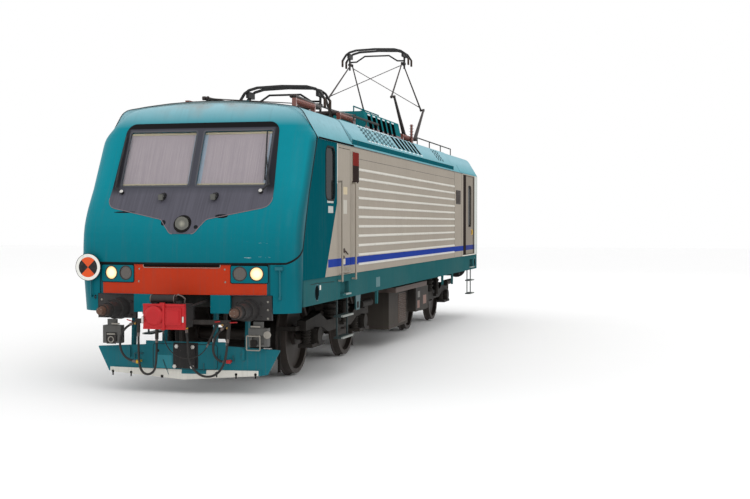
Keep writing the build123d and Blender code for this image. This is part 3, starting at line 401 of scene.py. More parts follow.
class Shade:
    """A material with one Principled BSDF and helpers for its nodes. Its shine is the Specular IOR Level."""

    def __init__(self, name, shine=0.5, **constants):
        self.material = bpy.data.materials.new(name)
        self.material.use_nodes = True
        self.tree = self.material.node_tree
        self.principled = self.tree.nodes["Principled BSDF"]
        for key, value in {"Specular IOR Level": shine, **constants}.items():
            self.principled.inputs[key.replace("_", " ")].default_value = value
        self.place = self.node("ShaderNodeTexCoord", {}, {}, "Object")
        self.x, self.y, self.z = (self.node("ShaderNodeSeparateXYZ", {}, {0: self.place}, k) for k in range(3))
        self.h = self.z - RAIL_Z / 1000

    def node(self, kind, settings, sockets, out=0):
        ready = {key: value.socket if isinstance(value, Wire) else value for key, value in sockets.items()}
        return Wire(self, add_node(self.tree, kind, settings, ready).outputs[out])

    def math(self, operation, a, b, clamp=False):
        return self.node("ShaderNodeMath", {"operation": operation, "use_clamp": clamp}, {0: a, 1: b})

    def noise(self, scale, stretch=(1, 1, 1), detail=3.0, rough=0.55):
        """Noise over the object's coordinates, finer along an axis where it is stretched more."""
        place = self.node("ShaderNodeMapping", {}, {"Vector": self.place, "Scale": stretch})
        sockets = {"Vector": place, "Scale": scale, "Detail": detail, "Roughness": rough}
        return self.node("ShaderNodeTexNoise", {}, sockets)

    def mix(self, factor, a, b, blend="MIX"):
        """Colour a where the factor is 0, colour b where it is 1, both wires or linear light."""
        settings = {"data_type": "RGBA", "blend_type": blend, "clamp_factor": True}
        colours = [c if isinstance(c, Wire) else (*c, 1.0) for c in (a, b)]
        return self.node("ShaderNodeMix", settings, {0: factor, 6: colours[0], 7: colours[1]}, 2)

    def lay(self, base, *layers):
        """The base colour all over, then each layer's colour where its mask is 1: rows of (mask, colour)."""
        colour = base if isinstance(base, Wire) else linear(*base)
        for mask, paint in layers:
            colour = self.mix(mask, colour, paint if isinstance(paint, Wire) else linear(*paint))
        return colour

    def oval(self, x, z, wide, high):
        """1 inside an ellipse seen from the front, in mm above the rail, with an uneven edge."""
        u = (self.x - x / 1000) / (wide / 1000)
        v = (self.h - z / 1000) / (high / 1000)
        return (u * u + v * v) < (0.7 + self.noise(30.0) * 0.6)

    def depth(self, x, z, inward, up):
        """Metres behind the plane through (x, z) in mm that leans inward, on both sides."""
        return x / 1000 * up + z / 1000 * inward - (self.x.size() * up + self.h * inward)

    def feed(self, **sockets):
        """Links wires to the Principled BSDF."""
        for key, value in sockets.items():
            self.tree.links.new(value.socket, self.principled.inputs[key.replace("_", " ")])
        return self

    def bump(self, height, strength, distance):
        """Bumps the surface by a wire, and gives the finished material."""
        sockets = {"Height": height, "Strength": strength, "Distance": distance}
        return self.feed(Normal=self.node("ShaderNodeBump", {}, sockets)).material

    def weather(self, colour, rough, dust=0.3, streaks=0.3, chips=0.0, uneven=0.12, grain=(24, 24, 0.7)):
        """Used paint: uneven tone, rain streaks, dust that thickens low down, dark chips. Gives the material."""
        broad = self.noise(0.9, detail=2.0)
        grit = self.noise(9.0, detail=4.0)
        streak = self.noise(1.0, grain, 4.0, 0.6)
        tone = 1 - uneven + (broad + grit) * uneven
        grey = self.node("ShaderNodeCombineColor", {}, {0: tone, 1: tone, 2: tone})
        paint = self.mix(1.0, colour, grey, "MULTIPLY")
        grime = (streak.ramp(0.5, 0.75) * grit.ramp(0.2, 0.7)) * streaks
        paint = self.mix(grime, paint, GRIME)
        low = ((1.5 - self.z).ramp(0.0, 1.5) * 0.8 + 0.2) * broad.ramp(0.3, 0.65) * dust
        paint = self.mix(low, paint, DUST)
        if chips:
            worn = self.noise(26.0, detail=6.0, rough=0.7) > 0.7 - 0.08 * chips
            paint = self.mix(worn * 0.8, paint, GRIME)
        self.feed(Base_Color=paint, Roughness=(rough + grit * 0.12 + low * 0.5 + grime * 0.3).clip())
        return self.bump(grit, 0.12, 0.002)


def plain(name, colour, rough, dust=0.1, **more):
    """A small part's finish: one colour, a little uneven, with varied roughness."""
    return Shade(name, **more).weather(linear(*colour), rough, dust=dust, streaks=0.1, uneven=0.15)


def mask_chips(s):
    """Where the paint is gone along the lower edge of the screen mask, on both sides of the edge."""
    chips = s.oval(-853, 2290, 150, 11) + s.oval(-266, 2152, 34, 36) + s.oval(501, 2236, 84, 26)
    return (chips + s.oval(185, 2100, 28, 24)).clip() * (s.y < -7)


def shell_paint():
    """Teal moulding of the cab: lighter with height as painted light from above, darker at its sides as painted
    shade, pale grey grime on its crown, fine scratches.
    """
    s = Shade("shell_paint", Coat_Weight=0.03, Coat_Roughness=0.12, shine=0.05)
    h = s.h
    far = s.x.size()
    smudge = s.noise(2.5, detail=5.0).ramp(0.42, 0.66) * h.ramp(3.5, 3.7) * (1 - far.ramp(0.3, 1.0))
    scratch = (s.noise(3.0, (1, 6, 14), 8.0, 0.7) > 0.665) * s.z.between(1.7, 2.1) * s.x.between(0.6, 1.3)
    # painted shade: the cab's sides darker than its front
    side = far.ramp(1.44, 1.49) * (1 - h.ramp(3.2, 3.4))
    # lighter with height: painted light from above
    colour = s.lay(TEAL, (h.ramp(1.5, 2.7), TOP_LIT_TEAL), (h.ramp(3.42, 3.72), ROOF_TEAL),
                   (smudge * 0.8, (150, 152, 150)), (scratch * 0.6, (190, 200, 198)),
                   (side * 0.8, SHADED_TEAL), (mask_chips(s), BARE))
    return s.weather(colour, 0.3, dust=0.02, streaks=0.16, uneven=0.08, grain=(20, 0.7, 0.7))


def side_paint():
    """Side wall: teal ahead of a slanted edge, darker as painted shade, beige behind with ribs pale from dust and
    painted highlight, a blue band low down, bare patches, a painted highlight under the roof and painted shade in the
    rear door's recess.
    """
    s = Shade("side_paint", shine=0.0)
    y = s.y
    h = s.h
    far = s.x.size()
    lean = s.math("MINIMUM", -6.006 + (h - 1.412) * 0.596, -5.399)
    edge = s.math("MAXIMUM", 3.436 - 0.2467 * (y - 4.206), 3.288)
    panel = (y > 4.206) * (y < 7.119) * (h > edge) + y.between(6.75, 7.119)
    recess = far < 1.4875
    sign = y.between(-4.6, -4.236) * h.between(2.74, 3.19) * (far > 1.495)
    colour = s.lay(
        BEIGE,
        # teal ends in the shaded teal: painted shade
        (((y < lean) + (h > 3.303) + (y > 7.14)).clip(), SHADED_TEAL),
        (h.between(1.545, 1.655) * y.between(-5.855, 7.12), BLUE),
        (h.between(1.563, 1.646) * y.between(-5.07, -4.949), (196, 190, 180)),  # patch in the band
        ((far > 1.5015) * y.between(-4.24, 3.99) * 0.75, (224, 222, 214)),  # ribs: pale, partly from dust, partly painted highlight
        (h.between(3.276, 3.303) * (y > -4.5), (196, 196, 190)),  # painted highlight along the roof's edge
        (panel.clip() * 0.85, (206, 212, 208)),
        (y.between(-5.4, -5.375) * h.between(2.7, 3.265), (214, 212, 206)),  # cab door and its patches
        (y.between(-5.085, -4.841) * h.between(2.559, 2.667), (198, 184, 156)),
        (y.between(-5.051, -4.86) * h.between(2.284, 2.48), (186, 182, 172)),
        (recess * y.between(5.1, 6.66) * 0.3, (90, 82, 74)),  # rear door: its recess darkened as painted shade, a darker strip by its front edge as painted shadow
        (recess * y.between(5.211, 5.611), (46, 40, 38)),
        (y.between(6.64, 6.742) * h.between(1.44, 3.25) * 0.7, (60, 56, 52)),
        ((h < 1.445) * (far > 1.505), (214, 212, 204)),  # foot
        (sign, s.lay((50, 42, 40), (h > 2.992, (116, 44, 40)))),
    )
    return s.weather(colour, 0.4, dust=0.06, streaks=0.22, chips=0.2)


def mask_paint():
    """Screen mask: black above the panes, grey with faint rain streaks below, bare chips on its low edge."""
    s = Shade("mask_paint", shine=0.12)
    h = s.h
    streak = s.noise(1.0, (34, 1.0, 1.0), 3.0, 0.6)
    beside = s.x.size().ramp(1.005, 1.03) * h.ramp(2.5, 2.62) * 0.85
    grey = s.lay((76, 75, 84), (streak.ramp(0.3, 0.75), (90, 89, 99)), (h.ramp(2.52, 2.64), (64, 65, 73)),
                 (mask_chips(s), BARE), (beside, (24, 24, 29)), (h.ramp(3.395, 3.405), (11, 10, 13)))
    s.feed(Base_Color=grey, Roughness=(0.42 + streak * 0.2 - h.ramp(3.3, 3.4) * 0.2).clip())
    return s.bump(streak, 0.05, 0.002)


def panel_paint():
    """Nose panel: orange-red, teal round the lamps and at its ends."""
    s = Shade("panel_paint", shine=0.15)
    far = s.x.size()
    colour = s.lay(ORANGE, (((far > 1.112) + (far > 0.655) * (s.h > 1.393)).clip(), (0, 74, 84)))
    return s.weather(colour, 0.36, dust=0.04, streaks=0.35, chips=0.15, grain=(24, 0.7, 0.7))


def roof_paint():
    """Roof: pale slope, dark fascia, a black painted shadow under its edge, dusty top, black painted shade inside the
    openings with pale slats in front.
    """
    s = Shade("roof_paint", shine=0.0)
    y = s.y
    h = s.h
    far = s.x.size()
    colour = s.lay(
        (112, 168, 178),
        (h.ramp(3.3, 3.55), ROOF_TEAL),
        (h.between(3.303, 3.378) * (far > 1.478) * y.between(-4.5, 3.983), (16, 84, 94)),
        # painted shadow: a black band under the roof's edge beside the cab
        (h.between(3.262, 3.303) * (far > 1.5) * y.between(-6.302, -4.5), BLACK),
        (h.ramp(3.66, 3.74) * (0.5 + s.noise(2.0) * 0.5), (130, 138, 136)),
        # painted shade: black inside the vent bays
        ((s.depth(*VENT_SLOPE) > 0.006) * h.between(3.4, 3.668) * y.between(-3.6, 3.2), SHADE_BLACK),
    )
    return s.weather(colour, 0.4, dust=0.0, chips=0.1)


def hood_paint():
    """Roof housing and boxes: teal, dark brown-grey walkway rails, black painted shade inside the louvre bays."""
    s = Shade("hood_paint", shine=0.0)
    far = s.x.size()
    bay = s.h.between(3.78, 4.064) * s.y.between(-1.2, 1.16) * (far > 0.79)
    colour = s.lay((30, 110, 116), ((far > 0.945) * 0.9, (84, 78, 76)),
                   (far.between(0.88, 1.02) * (s.h < 3.83) * 0.9, (150, 130, 132)),
                   # painted shade: black inside the louvre bays
                   ((s.depth(*HOOD_SIDE) > 0.006) * bay, SHADE_BLACK))
    return s.weather(colour, 0.4, dust=0.0)


def base_paint():
    """Pantograph bases: dark frames on brown insulators."""
    s = Shade("base_paint", shine=0.4)
    return s.weather(s.lay((52, 48, 46), (s.h < 3.846, (112, 58, 46))), 0.4, dust=0.0)


def disc_paint():
    """Signal disc: white ring with a thin black edge, orange top and bottom quarters, black left and right."""
    s = Shade("disc_paint", Roughness=0.4, shine=0.3)
    u = s.x - DISC_X / 1000
    v = s.h - DISC_Z / 1000
    r = length(u, v)
    face = s.lay((218, 80, 22), (u.size() > v.size(), (20, 20, 22)), (r > 0.130, (228, 228, 222)),
                 (r > 0.170, (24, 24, 26)), (s.noise(14.0).ramp(0.5, 0.8) * 0.3, (96, 88, 78)))
    return s.feed(Base_Color=face).material


def lamp_glass():
    """Lamp lenses: outer pair lit warm white, inner pair brownish and dark, top lamp with a painted highlight in its
    middle.
    """
    s = Shade("lamp_glass", Roughness=0.08, Coat_Weight=1.0, Emission_Strength=0.8)
    lit = (s.x.size() > 0.88) * (s.z < 2)
    ribs = s.node("ShaderNodeTexWave", {"bands_direction": "X"}, {"Vector": s.place, "Scale": 16.0})
    # painted highlight: the unlit top lamp pale in its middle
    top = s.lay((150, 148, 132), (length(s.x, s.h - TOP_LAMP_Z / 1000).ramp(0.01, 0.05), (84, 84, 74)))
    unlit = s.lay((70, 62, 54), (s.z > 2, top), (ribs * 0.4, (40, 38, 36)))
    rim = length(s.x.size() - LAMP_X[0] / 1000, s.h - LAMP_Z / 1000).ramp(0.035, 0.075)
    warm = s.lay((255, 244, 214), (rim, (250, 190, 100)))
    s.feed(Base_Color=s.lay(unlit, (lit, (200, 180, 140))), Emission_Color=s.lay((0, 0, 0), (lit, warm)))
    return s.bump(ribs, 0.3, 0.002)


def plough_paint():
    """Plough: teal apron with a lighter patch, white foot plates, black plate at the centre."""
    s = Shade("plough_paint", shine=0.15)
    x = s.x
    h = s.h
    foot = (h < 0.286) * (x.between(-1.068, -0.028) + x.between(0.298, 0.971)) + (h < 0.235) * (x.size() < 0.3)
    colour = s.lay(TEAL, (x.between(-0.4, -0.157) * h.between(0.283, 0.462), (44, 128, 140)),
                   (x.between(-0.14, 0.19) * h.between(0.30, 0.63), (30, 30, 32)), (foot.clip(), (208, 206, 198)))
    return s.weather(colour, 0.42, dust=0.06, streaks=0.35, chips=0.4, grain=(24, 0.7, 0.7))


def glass():
    """Window glass: dark tint, mostly clear in front, nearly opaque at the sides as painted shade inside the cab,
    with faint smears in its sheen.
    """
    s = Shade("glass", Base_Color=(0.012, 0.014, 0.015, 1), shine=0.02)
    smear = s.noise(5.0, detail=5.0).ramp(0.5, 0.8)
    # nearly opaque at the sides: painted shade inside the cab
    return s.feed(Alpha=0.16 + (s.x.size() > 1.3) * 0.82, Roughness=0.03 + smear * 0.1).material


def blind_cloth():
    """Sun blind cloth: greyish mauve with fine upright pleats, pale blue painted light along the panes' edges."""
    s = Shade("blind_cloth", Sheen_Weight=0.15)
    pleat = s.noise(1.0, (110, 1.5, 1.5), 2.0).ramp(0.35, 0.65)
    # painted light along the panes' edges
    edge = (s.x.between(-0.085, 0.099) + (s.x > 0.95)).clip()
    cloth = s.lay((214, 202, 208), (pleat, (196, 186, 193)), (edge, (196, 214, 232)))
    return s.weather(cloth, 0.8, dust=0.0, streaks=0.0)


def fittings_paint():
    """End fittings: grey sockets at the sides, greasy pipe rail and cocks, coloured plugs at two of the hoses."""
    s = Shade("fittings_paint", Metallic=0.25, shine=0.35)
    x = s.x
    low = s.h < 0.45
    colour = s.lay((46, 42, 40), (x.size() > 0.8, (84, 84, 82)), ((x < -0.56) * low, PLUG_YELLOW),
                   ((x > 0.56) * low, (186, 42, 44)), (x.between(-0.02, 0.09) * s.h.between(0.80, 0.85), PLUG_YELLOW))
    return s.weather(colour, 0.5, dust=0.03, streaks=0.4)


def black_paint():
    """Wipers and other cab fittings: black, with a grey washer nozzle."""
    s = Shade("black_fittings_paint", shine=0.4)
    nozzle = (s.y < -7.166) * s.x.size().between(0.3, 0.41) * s.h.between(2.4, 2.56)
    return s.weather(s.lay(BLACK, (nozzle, (84, 84, 80))), 0.42, dust=0.05, streaks=0.1)


def railing_paint():
    """Handrails: worn pale steel on the sides, teal at the front corners."""
    s = Shade("railing_paint", Metallic=0.3)
    return s.weather(s.lay((150, 142, 130), (s.y < -7, TEAL)), 0.36, dust=0.05, streaks=0.2)


def buffer_paint():
    """Front buffers: dark plates, plungers rusty brown towards their free ends."""
    s = Shade("buffer_paint", Metallic=0.2, shine=0.35)
    rust = (-7.7 - s.y).ramp(0.0, 0.12) * (0.4 + s.noise(11.0, detail=5.0) * 0.6)
    return s.weather(s.lay((48, 46, 46), (rust, (104, 74, 58))), 0.5, dust=0.03)


def underframe_paint():
    """Solebar and floor: hazy teal, painted shade inside the jacking holes, brown grime on the low corner boxes, a
    bright worn lip behind the step pocket.
    """
    s = Shade("underframe_paint", shine=0.0)
    far = s.x.size()
    colour = s.lay((30, 34, 34), (far > 1.3, (40, 92, 96)))
    # painted shade inside the jacking holes
    for y in JACK_Y:
        u = s.y - y / 1000
        v = s.h - JACK_Z / 1000
        colour = s.lay(colour, ((u * u + v * v < 0.0112) * far.between(1.3, 1.4885), (8, 28, 32)))
    colour = s.lay(colour, (s.y.between(-6.48, -5.99) * (s.h < 1.045), (96, 76, 62)),
                   ((far > 1.492) * (s.h < 1.155) * (s.y > -5.03), (150, 160, 158)))
    return s.weather(colour, 0.45, dust=0.2)


def step_paint():
    """Steps: dark frames, treads worn pale along their outer edge."""
    s = Shade("step_paint", shine=0.15)
    return s.weather(s.lay((40, 56, 58), (s.x.size() > 1.5, (142, 146, 142))), 0.5, dust=0.1)


def case_paint():
    """Underfloor cases: dark grey-brown, their own dark colour darkened further as painted shade under the body,
    browner bars on top, a few worn plates.
    """
    s = Shade("case_paint", shine=0.1)
    y = s.y
    h = s.h
    face = s.x.size() > 1.39
    pink = y.between(0.601, 0.816) * h.between(0.555, 0.70) + y.between(1.144, 1.444) * h.between(0.604, 0.771)
    colour = s.lay((38, 35, 33), (h.between(0.944, 1.037), (92, 80, 76)),
                   (face * y.between(0.636, 0.851) * h.between(0.755, 0.872), (112, 110, 106)),
                   (face * pink.clip(), (132, 104, 96)))
    return s.weather(colour, 0.55, dust=0.25)


SEAL = plain("rubber", (18, 18, 19), 0.62, shine=0.1)
BEVEL = plain("bevel_rubber", (60, 62, 70), 0.45)
HOSE = plain("hose_rubber", (26, 26, 27), 0.5, shine=0.35)
STEEL = plain("bare_steel", (150, 146, 138), 0.38, Metallic=0.8)
BRIGHT = plain("bright_steel", (205, 203, 198), 0.28, Metallic=0.9)
DARK = plain("dark_iron", (40, 38, 38), 0.55, Metallic=0.2, shine=0.35)
BLACK_PAINT = plain("black_paint", BLACK, 0.4)
RED = plain("red_paint", (180, 26, 32), 0.34, shine=0.25)
YELLOW = plain("yellow_paint", (222, 176, 40), 0.42)
WHITE = plain("white_paint", (212, 210, 203), 0.42)
CREAM = plain("cream_paint", (226, 216, 184), 0.45)
FERRULE = plain("ferrule", (112, 100, 96), 0.45, Metallic=0.4)
BRASS = plain("brass", (170, 132, 66), 0.35, Metallic=0.8)
PALE_PLATE = plain("pale_plate", (172, 176, 172), 0.5)
FAINT_PLATE = plain("faint_plate", (78, 116, 120), 0.5, shine=0.1)
VENT_PLATE = plain("vent_plate", (206, 222, 226), 0.45, shine=0.2)
# Painted highlight: pale strip along the mask's low edge
RIM_HIGHLIGHT = plain("rim_highlight", (120, 105, 110), 0.6)
# teal paint in the shaded teal: painted shade
TEAL_PAINT = plain("teal_paint", SHADED_TEAL, 0.4, shine=0.35)
DEEP = plain("deep_teal_paint", (4, 76, 84), 0.45, 0.25)
BROWN = plain("brown_glaze", (118, 60, 48), 0.2, Coat_Weight=0.6)
LOCK = plain("brown_lock", (64, 52, 46), 0.5, shine=0.1)
LOUVRE = plain("brown_louvre", (76, 60, 50), 0.55)
CARBON = plain("carbon", (34, 34, 36), 0.7)
# Bogie and wheel colours: their own dark colour, darkened further as painted shade under the body
BOGIE = plain("bogie_paint", (24, 22, 21), 0.6, 0.15, shine=0.15)
WHEEL = plain("wheel_steel", (44, 36, 32), 0.5, 0.15, Metallic=0.3)
INSIDE = plain("inner_wall", (122, 120, 112), 0.6)
PANTOGRAPH = plain("pantograph_paint", (56, 48, 46), 0.46, 0.0, Metallic=0.3)
HEAD = plain("collector_paint", (34, 33, 34), 0.5, 0.0, Metallic=0.3)
FITTINGS = black_paint()
SIDE = side_paint()
SHELL = shell_paint()
GLASS = glass()

# Each node's finish, by the longest of these beginnings that its name has
FINISH = {
    "underframe": underframe_paint(), "side_wall": SIDE, "roof": roof_paint(), "cab_shell": SHELL,
    "front_skirt": SHELL, "nose_panel": panel_paint(), "screen_mask": mask_paint(), "glazing": GLASS,
    "cross_walls": INSIDE, "machinery_block": DARK, "cab_fittings": FITTINGS, "sunblinds": blind_cloth(),
    "lamps": lamp_glass(), "front_buffers": buffer_paint(), "rear_buffers": BLACK_PAINT, "auto_coupler": DARK,
    "coupler_cover": RED, "rear_coupling": DARK, "plough": plough_paint(), "end_fittings": fittings_paint(),
    "handrails": railing_paint(), "steps": step_paint(), "wipers": FITTINGS, "signal_disc": disc_paint(),
    "gangway_bellows": SEAL, "underfloor_gear": case_paint(), "roof_gear": hood_paint(), "roof_insulators": BROWN,
    "pantograph_bases": base_paint(), "bogie_frame": BOGIE, "running_gear": BOGIE, "wheelset": WHEEL,
    "gangway_door": SIDE, "cab_door": SIDE, "rear_door": SIDE, "rear_glass": GLASS, "front_lower": PANTOGRAPH,
    "front_upper": PANTOGRAPH, "rear_lower": PANTOGRAPH, "rear_upper": PANTOGRAPH, "front_head": HEAD,
    "rear_head": HEAD, "hose": HOSE, "coupler_cable": HOSE,
}
for name, node in NODES.items():
    beginning = max((start for start in FINISH if name.startswith(start)), key=len)
    node.data.materials.clear()
    node.data.materials.append(FINISH[beginning])


# Hoses: length and diameter in metres, then the same points as in the CAD, in mm above the rail
HOSES = {
    "hose_left_brake": (0.6769, 0.03, (
        (-672, -7340, 868), (-754, -7352, 830), (-828, -7370, 723), (-841, -7380, 574), (-793, -7372, 454),
        (-714, -7352, 392), (-635, -7330, 378))),
    "hose_left_main": (1.0974, 0.03, (
        (-597, -7340, 749), (-588, -7362, 499), (-562, -7385, 316), (-508, -7396, 238), (-427, -7400, 221),
        (-357, -7398, 266), (-334, -7390, 358), (-334, -7370, 518), (-345, -7340, 670))),
    "hose_right_main": (1.3441, 0.03, (
        (60, -7340, 805), (83, -7358, 677), (104, -7388, 428), (179, -7396, 298), (278, -7401, 229),
        (387, -7404, 214), (490, -7406, 252), (570, -7406, 341), (617, -7398, 483), (624, -7362, 693))),
    "coupler_cable": (0.9121, 0.012, (
        (-262, -7330, 790), (-243, -7352, 700), (-196, -7384, 602), (-120, -7410, 520), (-24, -7424, 464),
        (80, -7428, 442), (180, -7424, 450), (268, -7412, 488), (334, -7396, 550), (366, -7376, 630))),
    "hose_right_brake": (0.5851, 0.03, (
        (560, -7340, 836), (480, -7348, 764), (434, -7354, 670), (420, -7354, 540), (455, -7350, 452),
        (527, -7340, 402), (593, -7330, 405))),
}


def hose(name, length, diameter, points):
    """Cord from the same points as in the CAD, in the CAD node's place."""
    curve = bpy.data.curves.new(name, "CURVE")
    curve.dimensions = "3D"
    curve.bevel_depth = diameter / 2
    curve.bevel_resolution = 3
    curve.resolution_u = 10
    curve.use_fill_caps = True
    spline = curve.splines.new("NURBS")
    spline.points.add(len(points) - 1)
    line = at(points)
    for point, co in zip(spline.points, line.tolist()):
        point.co = (*co, 1)
    spline.order_u = 3
    spline.use_endpoint_u = True
    curve.materials.append(HOSE)
    obj = new_object(name + "_tube", curve)
    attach(obj, "locomotive")
    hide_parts(name)


for name, row in HOSES.items():
    hose(name, *row)


# Details


# The windscreen: how far it leans back, the way up along it, its plane's y, z and rise in y, and the panes' x and z
LEAN = radians(24.3)
UP_SCREEN = (0, np.sin(LEAN), np.cos(LEAN))
SCREEN_Y, SCREEN_Z, SCREEN_RISE = -7009, 2600, 0.4515
PANE_X, PANE_Z = (46, 1000), (2626, 3362)
# Lines as rows: (y, z) of the shell's joint, (x, z) of the roof's outline and of the mask's low edge
SEAM = np.array(((-8000, 1620), (-7250, 1640), (-7100, 1740), (-7012, 1817), (-6880, 2180), (-6745, 2522),
                 (-6560, 2890), (-6361, 3274)))
ROOF_LINE = np.array(((1500, 3274), (1467.4, 3330), (1310.7, 3599.6), (1279.2, 3640.5), (1252.2, 3663.1),
                      (1212.7, 3684.5), (1172.4, 3696.1), (900, 3734.7), (600, 3765.4), (300, 3783.9), (0, 3790)))
MASK_RIM = ((1120, 2472), (1114, 2426), (1093, 2385), (1059, 2355), (1016, 2338), (335, 2199), (322, 2195),
            (310, 2189), (298, 2181), (289, 2171), (181, 2038), (170, 2027), (157, 2019), (142, 2014), (127, 2012))


def roof_strip(y, wide, high):
    """Half of a strip over the roof at y, from the eaves to the ridge."""
    x, z = fine(ROOF_LINE, 60).T
    run = np.gradient(np.stack([x, z], axis=1), axis=0)
    away = unit(np.stack([run[:, 1], np.zeros_like(x), -run[:, 0]], axis=1))
    return sweep(np.stack([x, np.full_like(x, y), z], axis=1), strip(wide, high), away)


def shell_seam(p):
    """Dark joint between the cab's upper and lower mouldings: across the nose, round its corners, up the sides."""
    x = np.concatenate([np.arange(0, 1290, 30.0), 1250 + 249 * np.sin(np.linspace(0.2, 1.5, 12))])
    z = np.full_like(x, 1636.0)
    for _ in range(8):  # each round brings z nearer to the joint's height at the nose's own y
        z = np.interp(nose_y(x, z), SEAM[:, 0], SEAM[:, 1])
    path, away = on_nose(np.stack([x, z], axis=1))
    side = fine(SEAM[3:], 60)
    side = np.stack([np.full(len(side), SIDE_X), side[:, 0], side[:, 1]], axis=1)
    side = side[side[:, 1] > path[-1, 1] + 12]
    path = np.concatenate([path, side])
    away = np.concatenate([away, np.tile((1.0, 0, 0), (len(side), 1))])
    p.pair(sweep(path, strip(24, 4), away), SEAL)
    p.pair(roof_strip(-6335, 26, 4), SEAL)
    p.pair(roof_strip(-4505, 12, 2.5), SEAL)


def screen_details(p):
    """Bevels of the two panes, cream bars behind the glass, a pale strip along the mask's low edge as painted
    highlight, and the wiper pivots' caps.
    """
    behind = 32
    high = 28
    for side in (-1, 1):
        p.add(trim(rounded(*sorted(side * x for x in PANE_X), *PANE_Z, 34), 26, 4, 6, True), BEVEL)
        a, b = (side * (PANE_X[0] + 10), side * (PANE_X[1] - 10))
        for z in (PANE_Z[0] + 18, PANE_Z[1] - 36):
            y = SCREEN_Y + (z - SCREEN_Z) * SCREEN_RISE
            place = (0, y + behind * np.cos(LEAN), z - behind * np.sin(LEAN))
            p.add(plate([(a, 0), (b, 0), (b, high), (a, high)][::side], place, X, UP_SCREEN, 8), CREAM)
    # painted highlight along the mask's low edge
    p.pair(trim(MASK_RIM, 8, 3, 4), RIM_HIGHLIGHT)
    pivot, away = on_nose([(954, 2540)], 45)
    p.pair(lathe(pivot[0], away[0], [(20, -3), (25, 0), (25, 3), (20, 7), (8, 8)], 18), BRIGHT)


def lamp_details(p):
    """Bezels of the four lamps and the black ring round the top lamp."""
    bezel = [(80, -12), (80, 8), (86, 11), (93, 8), (94, -12)]
    turn = 7400  # the bezels face straight away from a point this far back
    for x in LAMP_X:
        y = float(nose_y(x, LAMP_Z)) + 10
        p.pair(lathe((x, y, LAMP_Z), (x / turn, -1, 0), bezel, 32, True), BLACK_PAINT)
    ring = [(88, -10), (90, 5), (98, 9), (112, 9), (120, 4), (121, -10)]
    p.add(lathe((0, -7314, TOP_LAMP_Z), (0, -0.908, 0.42), ring, 36, True), SEAL)


def panel_details(p):
    """The nose panel's end gaps, raised lamp surrounds, slot with its pale lip, bolts and the towing eye."""
    sunk = -12
    p.pair(trim(((1164, 1250), (1164, 1632)), 9, 2, sunk), SEAL)
    p.pair(trim(rounded(655, 1133, 1393, 1617, 24), 9, 7, sunk, True), SEAL)
    p.add(block(-516, 516, -7334, -7326, 1593, 1639), SEAL)
    lip = [(521, 1634), (521, 1602), (513, 1590), (502, 1584)]
    p.add(trim([(-x, z) for x, z in lip] + lip[::-1], 9, 6, sunk), STEEL)
    for x, z in ((578, 1566), (585, 1407)):
        p.pair(scatter(bolt(AHEAD, 10, 7), [(x, float(nose_y(x, z)) + 13, z)]), STEEL)
    p.add(hoop((-1220, float(nose_y(1220, 1197)) - 16, 1197), X, 20, 6, 20), DARK)


def buffer_details(p):
    """Bolts of the buffer plates, collars of the plungers and the screws in their end faces."""
    heads = [(x, PLATE_Y, z) for x in (717, 1040) for z in (1142, 966)]
    p.pair(scatter(bolt(AHEAD, 16, 12), heads), DARK)
    p.pair(scatter(bolt(AHEAD, 11, 9), [(1130, PLATE_Y, z) for z in (1163, 1062, 954)]), STEEL)
    for y, r in ((-7450, 121), (-7640, 91), (-7790, 68)):
        p.pair(hoop((BUFFER_X, y, BUFFER_Z), Y, r, 6), DARK)
    heads = [(BUFFER_X + dx, -7872, BUFFER_Z + dz) for dx in (-24, 24) for dz in (-24, 24)]
    p.pair(scatter(bolt(AHEAD, 5, 4), heads), STEEL)


def coupler_details(p):
    """Coupler: rounded hump and tabs of its red cover, bright latches, tube rings and bent steel rods."""
    hump = [(128, 0), (127, 10), (122, 21), (112, 31), (99, 39), (88, 44.5)]
    p.add(lathe((-125, COVER_Y + 4, 1010), (0, -45, -10), hump, 36), RED)
    p.add(block(-60, 5, COVER_Y, -7868, 1150, 1176, 5), RED)
    p.add(block(-40, 5, COVER_Y, -7868, 838, 858, 5), RED)
    p.add(block(-284, -258, -7938, -7850, 925, 1005, 4), BRIGHT)
    p.add(seal(rounded(40, 222, 902, 1108, 10), (0, COVER_Y, 0), X, Z, 10, 6), RED)
    p.add(block(238, 260, -7913, -7850, 935, 1012, 4), BRIGHT)
    for x in (-206, 100):
        p.add(hoop((x, -7790, 1215), X, 53, 5, 24), FERRULE)
    bent = ((96, -7790, 1240), (138, -7790, 1270), (190, -7780, 1250), (218, -7760, 1219), (202, -7740, 1167),
            (210, -7720, 1120))
    p.add(bar(fine(bent, 15), 8, Y), FERRULE)


def pipe_details(p):
    """Ferrules on the hoses' ends, brass unions and red cock handles on the pipe rail."""
    for _, diameter, points in HOSES.values():
        r = diameter / 2 * 1000
        for a, b in ((points[0], points[1]), (points[-1], points[-2])):
            run = np.subtract(b, a)
            p.add(lathe(a, run, [(r + 1, 0), (r + 4, 4), (r + 4, 44), (r + 1, 48)], 14), FERRULE)
    for x, z in ((-638, 867), (547, 867), (612, 830)):
        p.add(lathe((x, PIPE_Y - 15, z), AHEAD, [(15, 0), (15, 12), (9, 14), (9, 22)], 6), BRASS)
    for x0, x1, z0, z1 in ((-747, -689, 916, 897), (523, 450, 914, 904), (749, 652, 906, 900)):
        y = PIPE_Y - 32
        path = ((x1, PIPE_Y, z1 - 6), (x1, y + 10, z1), ((x0 + x1) / 2, y, (z0 + z1) / 2), (x0, y, z0))
        p.add(bar(fine(path, 10), 7), RED)


